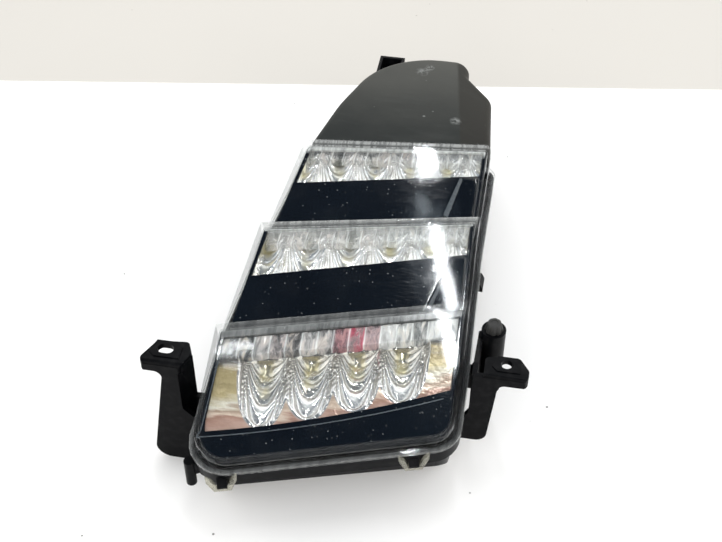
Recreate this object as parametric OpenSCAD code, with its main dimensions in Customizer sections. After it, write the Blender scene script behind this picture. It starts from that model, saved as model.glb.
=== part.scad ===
// Daytime running lamp of a road vehicle, lying on its back with the lens up.
// X runs to the right, Y towards the upper end of the lamp, Z the way the lamp faces.
// Three clear light strips step down like blades, each with a glossy black band below it.
// A dark dome at the upper end covers the driver board. The lamp stands on its rear face.

/* [Lens head] */
// Tilt of the lens rim about X, rising towards the upper end, degrees
head_tilt = 6; // [4:0.5:8]
// Height of the rim plane above the rear face
rim_height = 57; // [54:0.5:60]
// Right side of the lens at its lower end
lens_right = 64.5; // [62:0.5:67]
// Width of the lens at its lower end
lens_width_low = 125; // [121:1:129]
// Width of the lens at its upper edge
lens_width_top = 105; // [101:1:109]
// How far up the lens its left side starts to lean in
lean_start_y = -66; // [-74:1:-58]
// Wall of the clear lens
lens_wall = 2; // [1.8:0.1:2.2]
// How far the rim flange stands out of the lens wall
flange_out = 3.5; // [3.2:0.1:3.8]
// Depth of the tongue that sits in the seal groove
tongue_depth = 5; // [4.5:0.5:6]

/* [Tiers] */
// Middle of the upper edge of the top tier
edge_1_y = 70.2; // [69:0.2:71]
// Middle of the upper edge of the middle tier
edge_2_y = 8.3; // [7:0.1:10]
// Middle of the upper edge of the bottom tier
edge_3_y = -56; // [-58:0.5:-54]
// Middle of the lower end of the lens
lower_end_y = -126.6; // [-129:0.2:-125]
// Turn of the upper edge of the top tier, degrees
edge_1_turn = 6.3; // [5.5:0.1:7]
// Turn of the upper edge of the middle tier, degrees
edge_2_turn = 10.9; // [10:0.1:12]
// Turn of the upper edge of the bottom tier, degrees
edge_3_turn = 15.5; // [14.5:0.1:16.5]
// Turn of the lower end of the lens, degrees
lower_end_turn = 16.5; // [15.5:0.1:17.5]
// Height of the top tier's upper edge above the rim plane
tier_1_height = 23.9; // [23:0.1:25]
// Height of the middle tier's upper edge above the rim plane
tier_2_height = 26.4; // [25.4:0.1:27.4]
// Height of the bottom tier's upper edge above the rim plane
tier_3_height = 27.7; // [26.7:0.1:28.7]
// Fall of the top tier, degrees
tier_1_fall = 10.3; // [9.5:0.1:11]
// Fall of the middle tier, degrees
tier_2_fall = 12; // [11:0.1:13]
// Fall of the bottom tier, degrees
tier_3_fall = 15.4; // [14.4:0.1:16]

/* [Light strips] */
// Length of the top strip from its upper edge to its lower line
strip_1_length = 24.1; // [22:0.1:26]
// Length of the middle strip
strip_2_length = 26; // [24:0.1:28]
// Length of the bottom strip
strip_3_length = 51.4; // [49:0.1:54]
// Further turn of each strip's lower line, degrees
strip_flare = 4.6; // [3.6:0.1:5.6]
// Cups in each strip
cup_count = 4; // [3:1:4]
// Distance between cups in the bottom strip
cup_pitch = 22.1; // [21:0.1:23]
// Depth of the bottom strip's cups below its plane
cup_depth = 16; // [13:0.5:17]
// Cells of each prism bar
prism_cells = 15; // [10:1:18]

/* [Housing] */
// Wall of the housing
shell = 2.2; // [1.8:0.1:2.5]
// Height of the tail walls, where the dome cover sits
tail_height = 40; // [36:1:44]
// Where the sloping lower wall meets the rear face, at the middle
foot_y = -98; // [-101:1:-95]
// Slope of the lower wall to the rear face, degrees
foot_slope = 47; // [43:0.5:52]

/* [Dome] */
// Height of the dome cover above the rear face, near the lens
dome_height = 76.5; // [72:0.5:78]
// Length of the lamp from the origin of the head to the dome's far end
dome_end_y = 173.7; // [171:0.1:176]
// Rounding of the dome's edges
dome_round = 4.5; // [3:0.5:6]
// Fall of the dome on the right of its crease, degrees
dome_side_fall = 24; // [15:1:30]

/* [Brackets] */
// Height of both mounting flanges above the rear face
bracket_height = 75; // [72:0.5:78]
// Thickness of the bracket plates
bracket_plate = 3; // [2.5:0.1:3.5]
// Width of the left slot
slot_width = 5.8; // [5:0.1:6.4]
// Length of the left slot between its end centres
slot_travel = 2.4; // [1:0.1:4]
// Diameter of the right hole
hole_d = 5.6; // [5:0.1:6.4]

/* [Inside] */
// Thickness of the circuit boards
board_thick = 1.6; // [1.2:0.1:2]
// Diameter of the screw shafts
screw_d = 3; // [2.6:0.1:3.4]
// Diameter of a wire
wire_d = 1.6; // [1.2:0.1:2]

/* [Hidden] */
$fn = 48;
far = 400;

tiers = [0, 1, 2];
edge_y = [edge_1_y, edge_2_y, edge_3_y];
edge_turn = [edge_1_turn, edge_2_turn, edge_3_turn];
tier_height = [tier_1_height, tier_2_height, tier_3_height];
tier_fall = [tier_1_fall, tier_2_fall, tier_3_fall];
strip_length = [strip_1_length, strip_2_length, strip_3_length];

// Stack of walls from the lens surface inwards.
lens_gap = 0.7;
bezel_wall = 1.2;
bezel_in = lens_wall + lens_gap;
frame_in = bezel_in + bezel_wall;
skin_in = frame_in + 0.6;
window_in = frame_in + 1.5;
window_top = frame_in + 0.5;

// Groove that the lens tongue sits in, round the housing's mouth.
groove_play = 0.8;
groove_wall = 2;
groove_floor = -tongue_depth - 4;
seal_floor = groove_floor + 2;
inner_wall_in = lens_wall + groove_play;
outer_wall_out = groove_play + groove_wall;
inner_wall_top = -1;
flange_thick = 2;

// Prism bars, cups and boards of each tier, measured down from the tier's upper edge.
prism_start = [window_top + 0.2, window_top + 0.2, window_top + 2.2];
prism_end = [11.5, 12, 16.5];
prism_top_drop = lens_wall + 1.2;
ledge_drop = 9;
mid_low = lens_right - lens_width_low / 2;
mid_top = lens_right - 2.5 - lens_width_top / 2;
cup_row_x = [mid_top - 2, (mid_low + mid_top) / 2 - 1.35, mid_low - 2];
pitch = [
    cup_pitch * 0.915 * lens_width_top / 105,
    cup_pitch * 0.975 * (lens_width_top + lens_width_low) / 230,
    cup_pitch
];
cup_reach = [1.5, 1.5, 1];
depth = [cup_depth * 0.8, cup_depth * 0.88, cup_depth];
cup_lean = 4.6;
cup_half = 0.6;
skin = 1.6;
wall_gap = 0.6;
board_z0 = -6.5;
leaf = 1.5;
leaf_length = 24;
post_d = 8;

// Dome cover and tail.
dome_wall = 2;
dome_fall = 2.6;
dome_gap = 5.2;
dome_rings = 5;
joint_height = 4;

// Middle of the part's own box, which the origin sits under.
box_left = lens_right - lens_width_low - 32.3;
box_right = lens_right + 32.4;
box_front = lower_end_y - 19.4;
box_back = dome_end_y + 4.3;
shift = [-(box_left + box_right) / 2, -(box_front + box_back) / 2, 0];

// Points and lines

function unit(v) = v / norm(v);
function left_of(v) = [-v.y, v.x];
function mix(a, b, t) = a + (b - a) * t;
function along(y0, turn, x) = [x, y0 + x * tan(turn)];

// The corners moved inwards by d, for corners listed anticlockwise.
function inset(pts, d) = [
    for (i = [0 : len(pts) - 1])
        let (
            a = pts[(i + len(pts) - 1) % len(pts)],
            b = pts[i],
            c = pts[(i + 1) % len(pts)],
            m = left_of(unit(b - a)),
            n = left_of(unit(c - b))
        )
        b + (m + n) * d / (1 + m * n)
];

// One rounded corner: an arc of radius r that touches both sides.
function corner(a, b, c, r, steps) =
    let (
        u = unit(a - b),
        v = unit(c - b),
        half = acos(u * v) / 2,
        p = b + u * r / tan(half),
        q = b + v * r / tan(half),
        o = b + unit(u + v) * r / sin(half)
    )
    [for (k = [0 : steps]) o + unit(mix(p - o, q - o, k / steps)) * r];

// The outline moved inwards by d and then rounded. A hollow corner's radius grows instead.
function rounded(pts, radii, d = 0, steps = 6) =
    let (in = inset(pts, d), n = len(pts))
    [
        for (i = [0 : n - 1])
            let (
                a = in[(i + n - 1) % n],
                b = in[i],
                c = in[(i + 1) % n],
                grow = cross(b - a, c - b) > 0 ? -d : d
            )
            each corner(a, b, c, max(0.4, radii[i] + grow), steps)
    ];

// Outline of the lens in the plane of its rim

lens_left = lens_right - lens_width_low;
top_right = lens_right - 2.5;
top_left = top_right - lens_width_top;
waist_y = 3;
waist_left = mix(lens_left, top_left, 0.42);
waist_right = lens_right - 2.8;
lens_corners = [
    along(lower_end_y, lower_end_turn, lens_left),
    along(lower_end_y, lower_end_turn, lens_right),
    [lens_right - 0.4, lean_start_y],
    [waist_right, waist_y + 9],
    along(edge_1_y, edge_1_turn, top_right),
    along(edge_1_y, edge_1_turn, top_left),
    [waist_left, waist_y],
    [lens_left, lean_start_y]
];
lens_radii = [16, 13, 200, 200, 4, 6, 300, 250];

function lens_outline(d) = rounded(lens_corners, lens_radii, d);

// Sides of the lens at a height y, without its rounded corners.
function side_left(y) = lookup(y, [
    [lens_corners[0].y, lens_left],
    [lean_start_y, lens_left],
    [waist_y, waist_left],
    [lens_corners[5].y, top_left]
]);
function side_right(y) = lookup(y, [
    [lens_corners[1].y, lens_right],
    [lean_start_y, lens_right - 0.4],
    [waist_y + 9, waist_right],
    [lens_corners[4].y, top_right]
]);

// Where a line that crosses the lens meets its sides, moved in by d.
function meet_left(y0, turn, d) =
    let (x0 = side_left(y0), x1 = side_left(along(y0, turn, x0).y))
    along(y0, turn, x1 + d);
function meet_right(y0, turn, d) =
    let (x0 = side_right(y0), x1 = side_right(along(y0, turn, x0).y))
    along(y0, turn, x1 - d);

// A line that runs s below a tier's upper edge, as its height at x = 0.
function line_y(k, s) = edge_y[k] - s / cos(edge_turn[k]);

// A strip's lower line at x = 0, moved up by d.
function strip_low_y(k, d) = edge_y[k] - strip_length[k] + d / cos(edge_turn[k] + strip_flare);

// How far a point lies below a tier's upper edge.
function below_edge(k, p) =
    (edge_y[k] - p.y) * cos(edge_turn[k]) + p.x * sin(edge_turn[k]);

// Height of a tier's plane, moved in by d, over a point.
function tier_z(k, p, d) =
    tier_height[k] - below_edge(k, p) * tan(tier_fall[k]) - d / cos(tier_fall[k]);

// Frames and blocks

module head() {
    translate([0, 0, rim_height])
        rotate([head_tilt, 0, 0])
            children();
}

// Axes along a tier's upper edge: X along the edge, -Y down the tier.
module on_edge(k) {
    translate([0, edge_y[k], 0])
        rotate([0, 0, edge_turn[k]])
            children();
}

module slab(pts, z0, z1) {
    translate([0, 0, z0])
        linear_extrude(height = z1 - z0)
            polygon(pts);
}

// A block with a side outline in Y and Z, drawn along X.
module along_x(pts, length) {
    rotate([90, 0, 90])
        linear_extrude(height = length, center = true)
            polygon(pts);
}

module box(x0, x1, y0, y1, z0, z1) {
    translate([x0, y0, z0])
        cube([x1 - x0, y1 - y0, z1 - z0]);
}

// The space below a tier's plane, moved in by d. It runs on under the tiers below it.
module tier_wedge(k, d) {
    start = k == 0 ? 30 : -d;
    top = tier_height[k] - d / cos(tier_fall[k]);
    on_edge(k)
        along_x([
            [start, -120],
            [start, top + start * tan(tier_fall[k])],
            [-280, top - 280 * tan(tier_fall[k])],
            [-280, -120]
        ], far);
}

// The stepped body of the lens, moved in by d, from height z0 upwards.
module stepped_body(d, z0) {
    intersection() {
        slab(lens_outline(d), z0, 60);
        union() {
            for (k = tiers)
                tier_wedge(k, d);
        }
    }
}

function strip_quad(k, side, top, low) = [
    meet_left(strip_low_y(k, low), edge_turn[k] + strip_flare, side),
    meet_right(strip_low_y(k, low), edge_turn[k] + strip_flare, side),
    meet_right(line_y(k, top), edge_turn[k], side),
    meet_left(line_y(k, top), edge_turn[k], side)
];

// Lens, seal and bezel

clip_x = [lens_left + 15.9, lens_right - 19];
clip_width = 15;
clip_drop = 11;
clip_thick = 1.8;

// Axes at a lens clip: X along the lower end, -Y out of the lens.
module on_clip(x) {
    translate([x, along(lower_end_y, lower_end_turn, x).y, 0])
        rotate([0, 0, lower_end_turn])
            children();
}

module lens_clip() {
    y1 = -outer_wall_out - 0.3;
    y0 = y1 - clip_thick;
    difference() {
        union() {
            box(-clip_width / 2, clip_width / 2, y0, y1, -clip_drop, flange_thick);
            box(-clip_width / 2, clip_width / 2, y0, 0, 0, flange_thick);
        }
        box(-clip_width / 2 + 3, clip_width / 2 - 3, y0 - 1, y1 + 1, -clip_drop + 2.5, -2);
        for (side = [-1, 1])
            translate([side * clip_width / 2, 0, -clip_drop])
                rotate([0, side * 18, 0])
                    box(side > 0 ? 0 : -4, side > 0 ? 4 : 0, y0 - 1, y1 + 0.2, -6, clip_drop);
    }
}

module outer_lens() {
    color([0.82, 0.86, 0.88, 0.35])
        head() {
            difference() {
                union() {
                    stepped_body(0, -tongue_depth);
                    slab(lens_outline(-flange_out), 0, flange_thick);
                }
                stepped_body(lens_wall, -tongue_depth - 1);
            }
            for (x = clip_x)
                on_clip(x)
                    lens_clip();
        }
}

module lens_seal() {
    color([0.16, 0.16, 0.17])
        head()
            difference() {
                slab(lens_outline(-groove_play), seal_floor, -tongue_depth);
                slab(lens_outline(inner_wall_in), seal_floor - 1, -tongue_depth + 1);
            }
}

module bezel() {
    color([0.04, 0.045, 0.055])
        head()
            difference() {
                stepped_body(bezel_in, inner_wall_top);
                stepped_body(frame_in, inner_wall_top - 1);
                for (k = tiers)
                    slab(strip_quad(k, window_in, window_top, 0), 0, 60);
            }
}

// Reflectors, bars and boards

grid_cols = 44;
grid_rows = 12;

// Middle of a cup where it meets the wall under the bar.
function cup_top(k, c) =
    along(line_y(k, prism_end[k]), edge_turn[k],
        cup_row_x[k] + (c - (cup_count - 1) / 2) * pitch[k]);

// Length of a cup down the strip from its top.
function cup_length(k, c) =
    (cup_top(k, c).y - along(strip_low_y(k, 0.6), edge_turn[k] + strip_flare, cup_top(k, c).x).y)
        * cup_reach[k];

// Depth of the cups at a point: each is a dish with an oval rim, and the deepest one counts.
function cup_sink(k, p) = max([
    for (c = [0 : cup_count - 1])
        let (
            o = cup_top(k, c),
            y = (o.y - p.y) / cup_length(k, c),
            x = (p.x - o.x - (o.y - p.y) * tan(cup_lean)) / (pitch[k] * cup_half)
        )
        max(0, depth[k] * (1 - x * x - y * y))
]);

// Rows of the reflector: two on the ledge, then those of the cups down to its lower edge.
function row_point(k, i, j, back) =
    let (
        t = i / grid_cols,
        step = back ? -skin : 0,
        s = j == 0 ? skin_in : j == 1 ? prism_end[k] - 0.4 + step : prism_end[k] + step,
        low_l = meet_left(strip_low_y(k, -1.8), edge_turn[k] + strip_flare, skin_in),
        low_r = meet_right(strip_low_y(k, -1.8), edge_turn[k] + strip_flare, skin_in),
        top_l = meet_left(line_y(k, s), edge_turn[k], skin_in),
        top_r = meet_right(line_y(k, s), edge_turn[k], skin_in),
        r = j < 2 ? 0 : (j - 2) / (grid_rows - 2)
    )
    mix(mix(top_l, top_r, t), mix(low_l, low_r, t), r);

function skin_point(k, i, j, back) =
    let (
        p = row_point(k, i, j, back),
        front = row_point(k, i, j, false),
        drop = j < 2 ? ledge_drop : frame_in,
        rim = i == 0 || i == grid_cols || j == grid_rows,
        step = (ledge_drop - frame_in) / cos(tier_fall[k]) + 0.6,
        sink = j < 2 ? 0 : max(j == 2 ? step : 0, rim ? 0 : cup_sink(k, front))
    )
    [p.x, p.y, tier_z(k, j < 2 ? p : front, drop) - sink - (back ? skin : 0)];

// A closed sheet between a front grid and a back grid of the same size.
module sheet(front, back, cols, rows) {
    n = cols + 1;
    m = n * (rows + 1);
    points = concat(front, back);
    faces = concat(
        [for (j = [0 : rows - 1], i = [0 : cols - 1]) each
            let (a = j * n + i, b = a + 1, d = a + n, c = d + 1)
            [[a, b, c], [a, c, d], [a + m, c + m, b + m], [a + m, d + m, c + m]]],
        [for (i = [0 : cols - 1]) each
            let (a = i, b = i + 1, d = rows * n + i, c = d + 1)
            [[b, a, a + m], [b, a + m, b + m], [d, c, c + m], [d, c + m, d + m]]],
        [for (j = [0 : rows - 1]) each
            let (a = j * n, d = a + n, b = a + cols, c = b + n)
            [[a, d, d + m], [a, d + m, a + m], [c, b, b + m], [c, b + m, c + m]]]
    );
    polyhedron(points = points, faces = faces, convexity = 10);
}

led_w = 4;
led_h = 4;

// Axes at a cup's light source: X along the edge, -Y down the strip, Z forwards.
module on_led(k, c) {
    o = cup_top(k, c);
    translate([o.x, o.y, tier_z(k, o, frame_in) - max(10, depth[k] * 0.62)])
        rotate([0, 0, edge_turn[k]])
            children();
}

module reflector(k) {
    color([0.86, 0.87, 0.88])
        head()
            difference() {
                sheet(
                    [for (j = [0 : grid_rows], i = [0 : grid_cols]) skin_point(k, i, j, false)],
                    [for (j = [0 : grid_rows], i = [0 : grid_cols]) skin_point(k, i, j, true)],
                    grid_cols, grid_rows
                );
                for (c = [0 : cup_count - 1])
                    on_led(k, c)
                        box(-led_w / 2 - 0.3, led_w / 2 + 0.3, -0.3, skin + 0.4, -led_h / 2 - 0.3, led_h / 2 + 0.3);
            }
}

// The front of a bar swells once over each cell.
function scallops(x0, x1, y, cells, swell) =
    let (w = (x1 - x0) / cells)
    [
        for (c = [0 : cells - 1], q = [0 : 4])
            [x0 + (c + q / 5) * w, y + swell * sin(36 * q)]
    ];

module prism_bar(k) {
    s0 = prism_start[k];
    s1 = prism_end[k] - 0.6;
    left = meet_left(line_y(k, s0), edge_turn[k], window_in + 0.4);
    right = meet_right(line_y(k, s0), edge_turn[k], window_in + 0.6);
    x0 = left.x / cos(edge_turn[k]) + 2;
    x1 = right.x / cos(edge_turn[k]) - 0.6;
    swell = 0.9;
    z_front = tier_height[k] - prism_top_drop / cos(tier_fall[k]) - swell;
    z_back = tier_height[k] - ledge_drop / cos(tier_fall[k]);
    edge = scallops(x0, x1, 0, prism_cells, swell);
    color([0.85, 0.88, 0.9, 0.45])
        head()
            intersection() {
                on_edge(k)
                    multmatrix([
                        [1, 0, 0, 0],
                        [0, 1, 0, 0],
                        [0, tan(tier_fall[k]), 1, 0],
                        [0, 0, 0, 1]
                    ])
                        rotate([90, 0, 0])
                            translate([0, 0, s0])
                                linear_extrude(height = s1 - s0)
                                    polygon(concat(
                                        [for (p = edge) [p.x, z_front + p.y]],
                                        [[x1, z_front], [x1, z_back], [x0, z_back]]
                                    ));
                slab(lens_outline(window_in + 0.4), -20, 60);
            }
}

function board_half(k) = cup_count / 2 * pitch[k] + 1;
function board_top(k) = tier_z(k, [0, line_y(k, prism_end[k] - skin - wall_gap)], ledge_drop) - skin - 0.8;

// Axes on a tier's edge, moved along it to the middle of its cups.
module on_row(k) {
    on_edge(k)
        translate([cup_row_x[k] / cos(edge_turn[k]), 0, 0])
            children();
}

module led_board(k) {
    face = -(prism_end[k] - skin - wall_gap);
    color([0.92, 0.93, 0.9])
        head()
            on_row(k)
                box(-board_half(k), board_half(k), face, face + board_thick, board_z0 + leaf, board_top(k));
}

module leds(k) {
    color([0.95, 0.85, 0.45])
        head()
            for (c = [0 : cup_count - 1])
                on_led(k, c)
                    box(-led_w / 2, led_w / 2, 0.3, skin + wall_gap, -led_h / 2, led_h / 2);
}

function screw_x(k) = board_half(k) - 12;
screw_s = 15;

module heat_spreader(k) {
    face = -(prism_end[k] - skin - wall_gap) + board_thick;
    half = board_half(k);
    color([0.72, 0.73, 0.75])
        head()
            on_row(k)
                difference() {
                    union() {
                        box(-half, half, face, face + leaf, board_z0, board_top(k));
                        box(-half, half, face - leaf_length, face + leaf, board_z0, board_z0 + leaf);
                        for (i = [-4 : 4])
                            box(i * 6 - 0.6, i * 6 + 0.6, face - leaf_length + 2, face - 4, board_z0 - 7, board_z0 + 0.5);
                    }
                    for (side = [-1, 1])
                        translate([side * screw_x(k), face - screw_s, board_z0 - 1])
                            cylinder(d = screw_d + 0.4, h = leaf + 2);
                }
}

// A pan head screw that points down, with its head's seat at the origin.
module screw(length) {
    difference() {
        union() {
            cylinder(d = screw_d * 2, h = screw_d * 0.7);
            translate([0, 0, -length])
                cylinder(d = screw_d, h = length + 0.5);
        }
        translate([0, 0, screw_d * 0.35])
            for (turn = [0, 90])
                rotate([0, 0, turn])
                    translate([-screw_d * 0.6, -0.35, 0])
                        cube([screw_d * 1.2, 0.7, screw_d]);
    }
}

module at_spreader_screws() {
    head()
        for (k = tiers)
            on_row(k)
                for (side = [-1, 1])
                    translate([
                        side * screw_x(k),
                        -(prism_end[k] - skin - wall_gap) + board_thick - screw_s,
                        board_z0
                    ])
                        children();
}

module spreader_screws() {
    color([0.7, 0.7, 0.72])
        at_spreader_screws()
            translate([0, 0, leaf])
                screw(9);
}

// Housing

foot_profile = [
    [0, 0],
    [far, 0],
    [far, 300],
    [-300 / tan(foot_slope), 300]
];

// The space above the rear face and the sloping lower wall, moved in by d.
module above_rear(d) {
    translate([0, foot_y, 0])
        rotate([0, 0, lower_end_turn])
            along_x(inset(foot_profile, d), far * 2);
}

module tub(d, top) {
    intersection() {
        head()
            slab(lens_outline(inner_wall_in + d), -110, top);
        above_rear(d);
    }
}

dome_front = edge_1_y + dome_gap;
dome_left = top_left - 0.2;
dome_right = top_right - 0.4;
dome_corners = [
    along(dome_front, edge_1_turn, dome_left),
    along(dome_front, edge_1_turn, dome_right),
    [dome_right - 5.7, dome_end_y - 26.3],
    [dome_right - 21.8, dome_end_y - 13.2],
    [dome_right - 22.6, dome_end_y],
    [dome_left + 28.9, dome_end_y],
    [dome_left + 9.4, dome_end_y - 57.7]
];
dome_radii = [4, 3, 8, 3, 6, 50, 120];
function dome_outline(d) = rounded(dome_corners, dome_radii, d);

// The tail's outline runs on under the lens, so that tail and tub share one wall.
tail_lap = 14;
tail_corners = [
    along(dome_front - tail_lap, edge_1_turn, dome_left + 0.6),
    along(dome_front - tail_lap, edge_1_turn, dome_right - 3.6),
    along(dome_front, edge_1_turn, dome_right),
    [dome_right - 5.7, dome_end_y - 26.3],
    [dome_right - 21.8, dome_end_y - 13.2],
    [dome_right - 22.6, dome_end_y],
    [dome_left + 28.9, dome_end_y],
    [dome_left + 9.4, dome_end_y - 57.7],
    along(dome_front, edge_1_turn, dome_left)
];
tail_radii = [1, 1, 6, 8, 3, 6, 50, 120, 4];
function tail_outline(d) = rounded(tail_corners, tail_radii, d);

boss_x = lens_right + 12.5;
boss_y = -52;
boss_d = 12.4;
boss_top = 73;
nipple_d = 5;
nipple_top = 75.5;
duct_z = 34;

// Brackets: places beside the left and the right side of the lens.
slot_at = [-20.7, -94.6];
hole_at = [21.1, -75.8];
left_plate_y = -103;
right_plate_y = -83;
bracket_edge = 2.5;
pad_rise = 0.5;

tab_x = [dome_left + 24.7, dome_left + 40.3];
tab_y = [dome_end_y - 14, box_back];
tab_z = [52, 66];
tab_wall = 1.8;

socket_x = [8, 32];
socket_z = [8, 22];
socket_wall = 1.8;
socket_back = dome_end_y - 11;
socket_floor = socket_back + 4;
peg_at = [lens_left - 2.3, -132];
peg_z = 20;
peg_turn = 37;
pin = 0.8;
pin_z = (socket_z[0] + socket_z[1]) / 2;
pin_x = [for (i = [-2 : 2]) (socket_x[0] + socket_x[1]) / 2 + i * 3.6];

pcb_z = 22;
pcb_y = [92, 146];
pcb_x = [dome_left + 23.2, dome_right - 17.6];
pcb_posts = [for (x = [pcb_x[0] + 5, pcb_x[1] - 5], y = [pcb_y[0] + 5, pcb_y[1] - 5]) [x, y]];

// A flange with a rounded front edge that folds down into a lip. The pad round its hole stands proud.
module flange(outline, radii, front, x0, x1, lip) {
    z1 = bracket_height - pad_rise;
    z0 = bracket_height - bracket_plate;
    intersection() {
        translate([(x0 + x1) / 2, 0, 0])
            along_x(rounded([
                [front, z1 - lip],
                [front + bracket_plate, z1 - lip],
                [front + bracket_plate, z0],
                [front + 60, z0],
                [front + 60, z1],
                [front, z1]
            ], [0.4, 0.4, 1, 0.4, 0.4, bracket_edge]), x1 - x0);
        slab(rounded(outline, radii), 0, 200);
    }
}

module pad(at, size) {
    w = size.x / 2;
    h = size.y / 2;
    translate([at.x, at.y, 0])
        slab([[-w, -h * 0.4], [-w * 0.6, -h], [w, -h], [w, h * 0.5], [w * 0.6, h], [-w * 0.7, h]],
            bracket_height - bracket_plate, bracket_height);
}

module left_bracket() {
    z0 = bracket_height - bracket_plate;
    low = bracket_height - pad_rise - 6;
    front = left_plate_y - bracket_plate / 2;
    difference() {
        union() {
            flange([[-33.9, -105], [-11.6, -105], [-7.3, -95], [-10.5, -88], [-26.5, -89.8]],
                [3.5, 3, 3, 2.5, 3], front, -34, -5, 6);
            pad(slot_at, [16, 10.5]);
            // Column plate that faces down the lamp, with a rounded foot
            translate([0, left_plate_y + bracket_plate / 2, 0])
                rotate([90, 0, 0])
                    linear_extrude(height = bracket_plate)
                        polygon(rounded(
                            [[-31.4, 0], [6.5, 0], [6.5, 28], [-5.5, 34], [-12.6, 42],
                             [-12.6, z0 + 1], [-30.5, z0 + 1], [-30.5, low], [-20.5, low]],
                            [8, 0.5, 1, 3, 3, 0.5, 0.5, 0.5, 4]
                        ));
            // Slanting side plate that runs back from the column
            slab([[-12.6, left_plate_y - 1], [-7.1, -95], [-9.6, -93.4], [-15.4, left_plate_y + 1]], 6, z0 + 1);
            // Webs back to the lens head
            box(-15.5, 5.5, left_plate_y + 1, left_plate_y + 5, 8, 30);
            box(-9.5, 5.5, -96.5, -93.5, 8, 43);
        }
        // Slot
        for (x = [-1, 1])
            translate([slot_at.x + x * slot_travel / 2, slot_at.y, z0 - 1])
                cylinder(d = slot_width, h = bracket_plate + 2);
        translate([slot_at.x - slot_travel / 2, slot_at.y - slot_width / 2, z0 - 1])
            cube([slot_travel, slot_width, bracket_plate + 2]);
    }
}

module right_bracket() {
    z0 = bracket_height - bracket_plate;
    low = bracket_height - pad_rise - 6;
    front = right_plate_y - bracket_plate / 2;
    difference() {
        union() {
            flange([[10.5, -85], [32.4, -85], [32.4, -78], [27, -70.3], [10.5, -72.2]],
                [2, 3.5, 3, 3, 2], front, 9, 34, 6);
            pad(hole_at, [14, 9.6]);
            translate([0, right_plate_y + bracket_plate / 2, 0])
                rotate([90, 0, 0])
                    linear_extrude(height = bracket_plate)
                        polygon(rounded(
                            [[-6.5, 24], [14.5, 24], [18.2, low], [31, low], [31, z0 + 1],
                             [6, z0 + 1], [4.7, 45], [2.6, 41], [-6.5, 39]],
                            [0.5, 6, 4, 0.5, 0.5, 0.5, 1, 1, 0.5]
                        ));
            // Wall beside the lens that ties the bracket to the boss
            translate([6.2, 0, 0])
                along_x(rounded(
                    [[right_plate_y, 26], [boss_y, 30], [boss_y, 66], [right_plate_y + 8, z0 + 1], [right_plate_y, z0 + 1]],
                    [1, 1, 3, 3, 1]
                ), 2.6);
        }
        translate([hole_at.x, hole_at.y, z0 - 1])
            cylinder(d = hole_d, h = bracket_plate + 2);
    }
}

module breather_boss() {
    difference() {
        union() {
            translate([boss_x, boss_y, 30])
                cylinder(d = boss_d, h = boss_top - 30);
            translate([boss_x, boss_y, boss_top - 1])
                cylinder(d = nipple_d, h = nipple_top - boss_top + 1);
            // Web that carries the duct to the lens head
            translate([boss_x, boss_y + 4, 0])
                rotate([90, 0, 0])
                    linear_extrude(height = 8)
                        polygon([[-17, 30], [0, 30], [0, 71], [-7.6, 66], [-7.6, 45], [-9.6, 40], [-17, 38]]);
        }
        translate([boss_x, boss_y, duct_z])
            cylinder(d = 3, h = far);
        translate([boss_x - 21, boss_y, duct_z])
            rotate([0, 90, 0])
                cylinder(d = 3, h = 21);
    }
}

// A locating peg below the lower left corner, with an arm to the lens head.
module peg() {
    translate([peg_at.x, peg_at.y, peg_z])
        cylinder(d = 5.4, h = 17);
    translate([peg_at.x, peg_at.y, 0])
        rotate([0, 0, peg_turn])
            box(0, 9.5, -2, 2, 27, peg_z + 16);
}

// A snap hook on the groove's outer wall, at a point of the rim, facing turn degrees.
module snap_hook(x, y, turn) {
    translate([x, y, 0])
        rotate([0, 0, turn])
            along_x([[-1.2, -8], [2.6, -8], [2.6, -5.5], [0.8, -1.5], [-1.2, -1.5]], 8);
}

module clip_hooks() {
    y1 = -groove_play - 1;
    y0 = -outer_wall_out - 0.3 - clip_thick - 1;
    for (x = clip_x)
        on_clip(x)
            along_x([[y1, -7.2], [y0, -7.2], [y0, -6], [y1, -3.4]], 5);
}

// Solid of the upper fixing socket, clear of the dome cover. Its hollow is cut with the housing's.
module fixing_socket() {
    difference() {
        union() {
            box(tab_x[0], tab_x[1], tab_y[0], tab_y[1], tab_z[0], tab_z[1]);
            box(tab_x[0], tab_x[1], tab_y[0], dome_end_y, 20, tab_z[0] + 1);
        }
        slab(dome_outline(-0.3), tail_height, far);
        difference() {
            box(tab_x[0] + tab_wall, tab_x[1] - tab_wall, tab_y[0] - 1, box_back - tab_wall,
                tab_z[0] + 2, tab_z[1] + 1);
            slab(dome_outline(-0.3 - tab_wall), 0, far);
        }
    }
}

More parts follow.
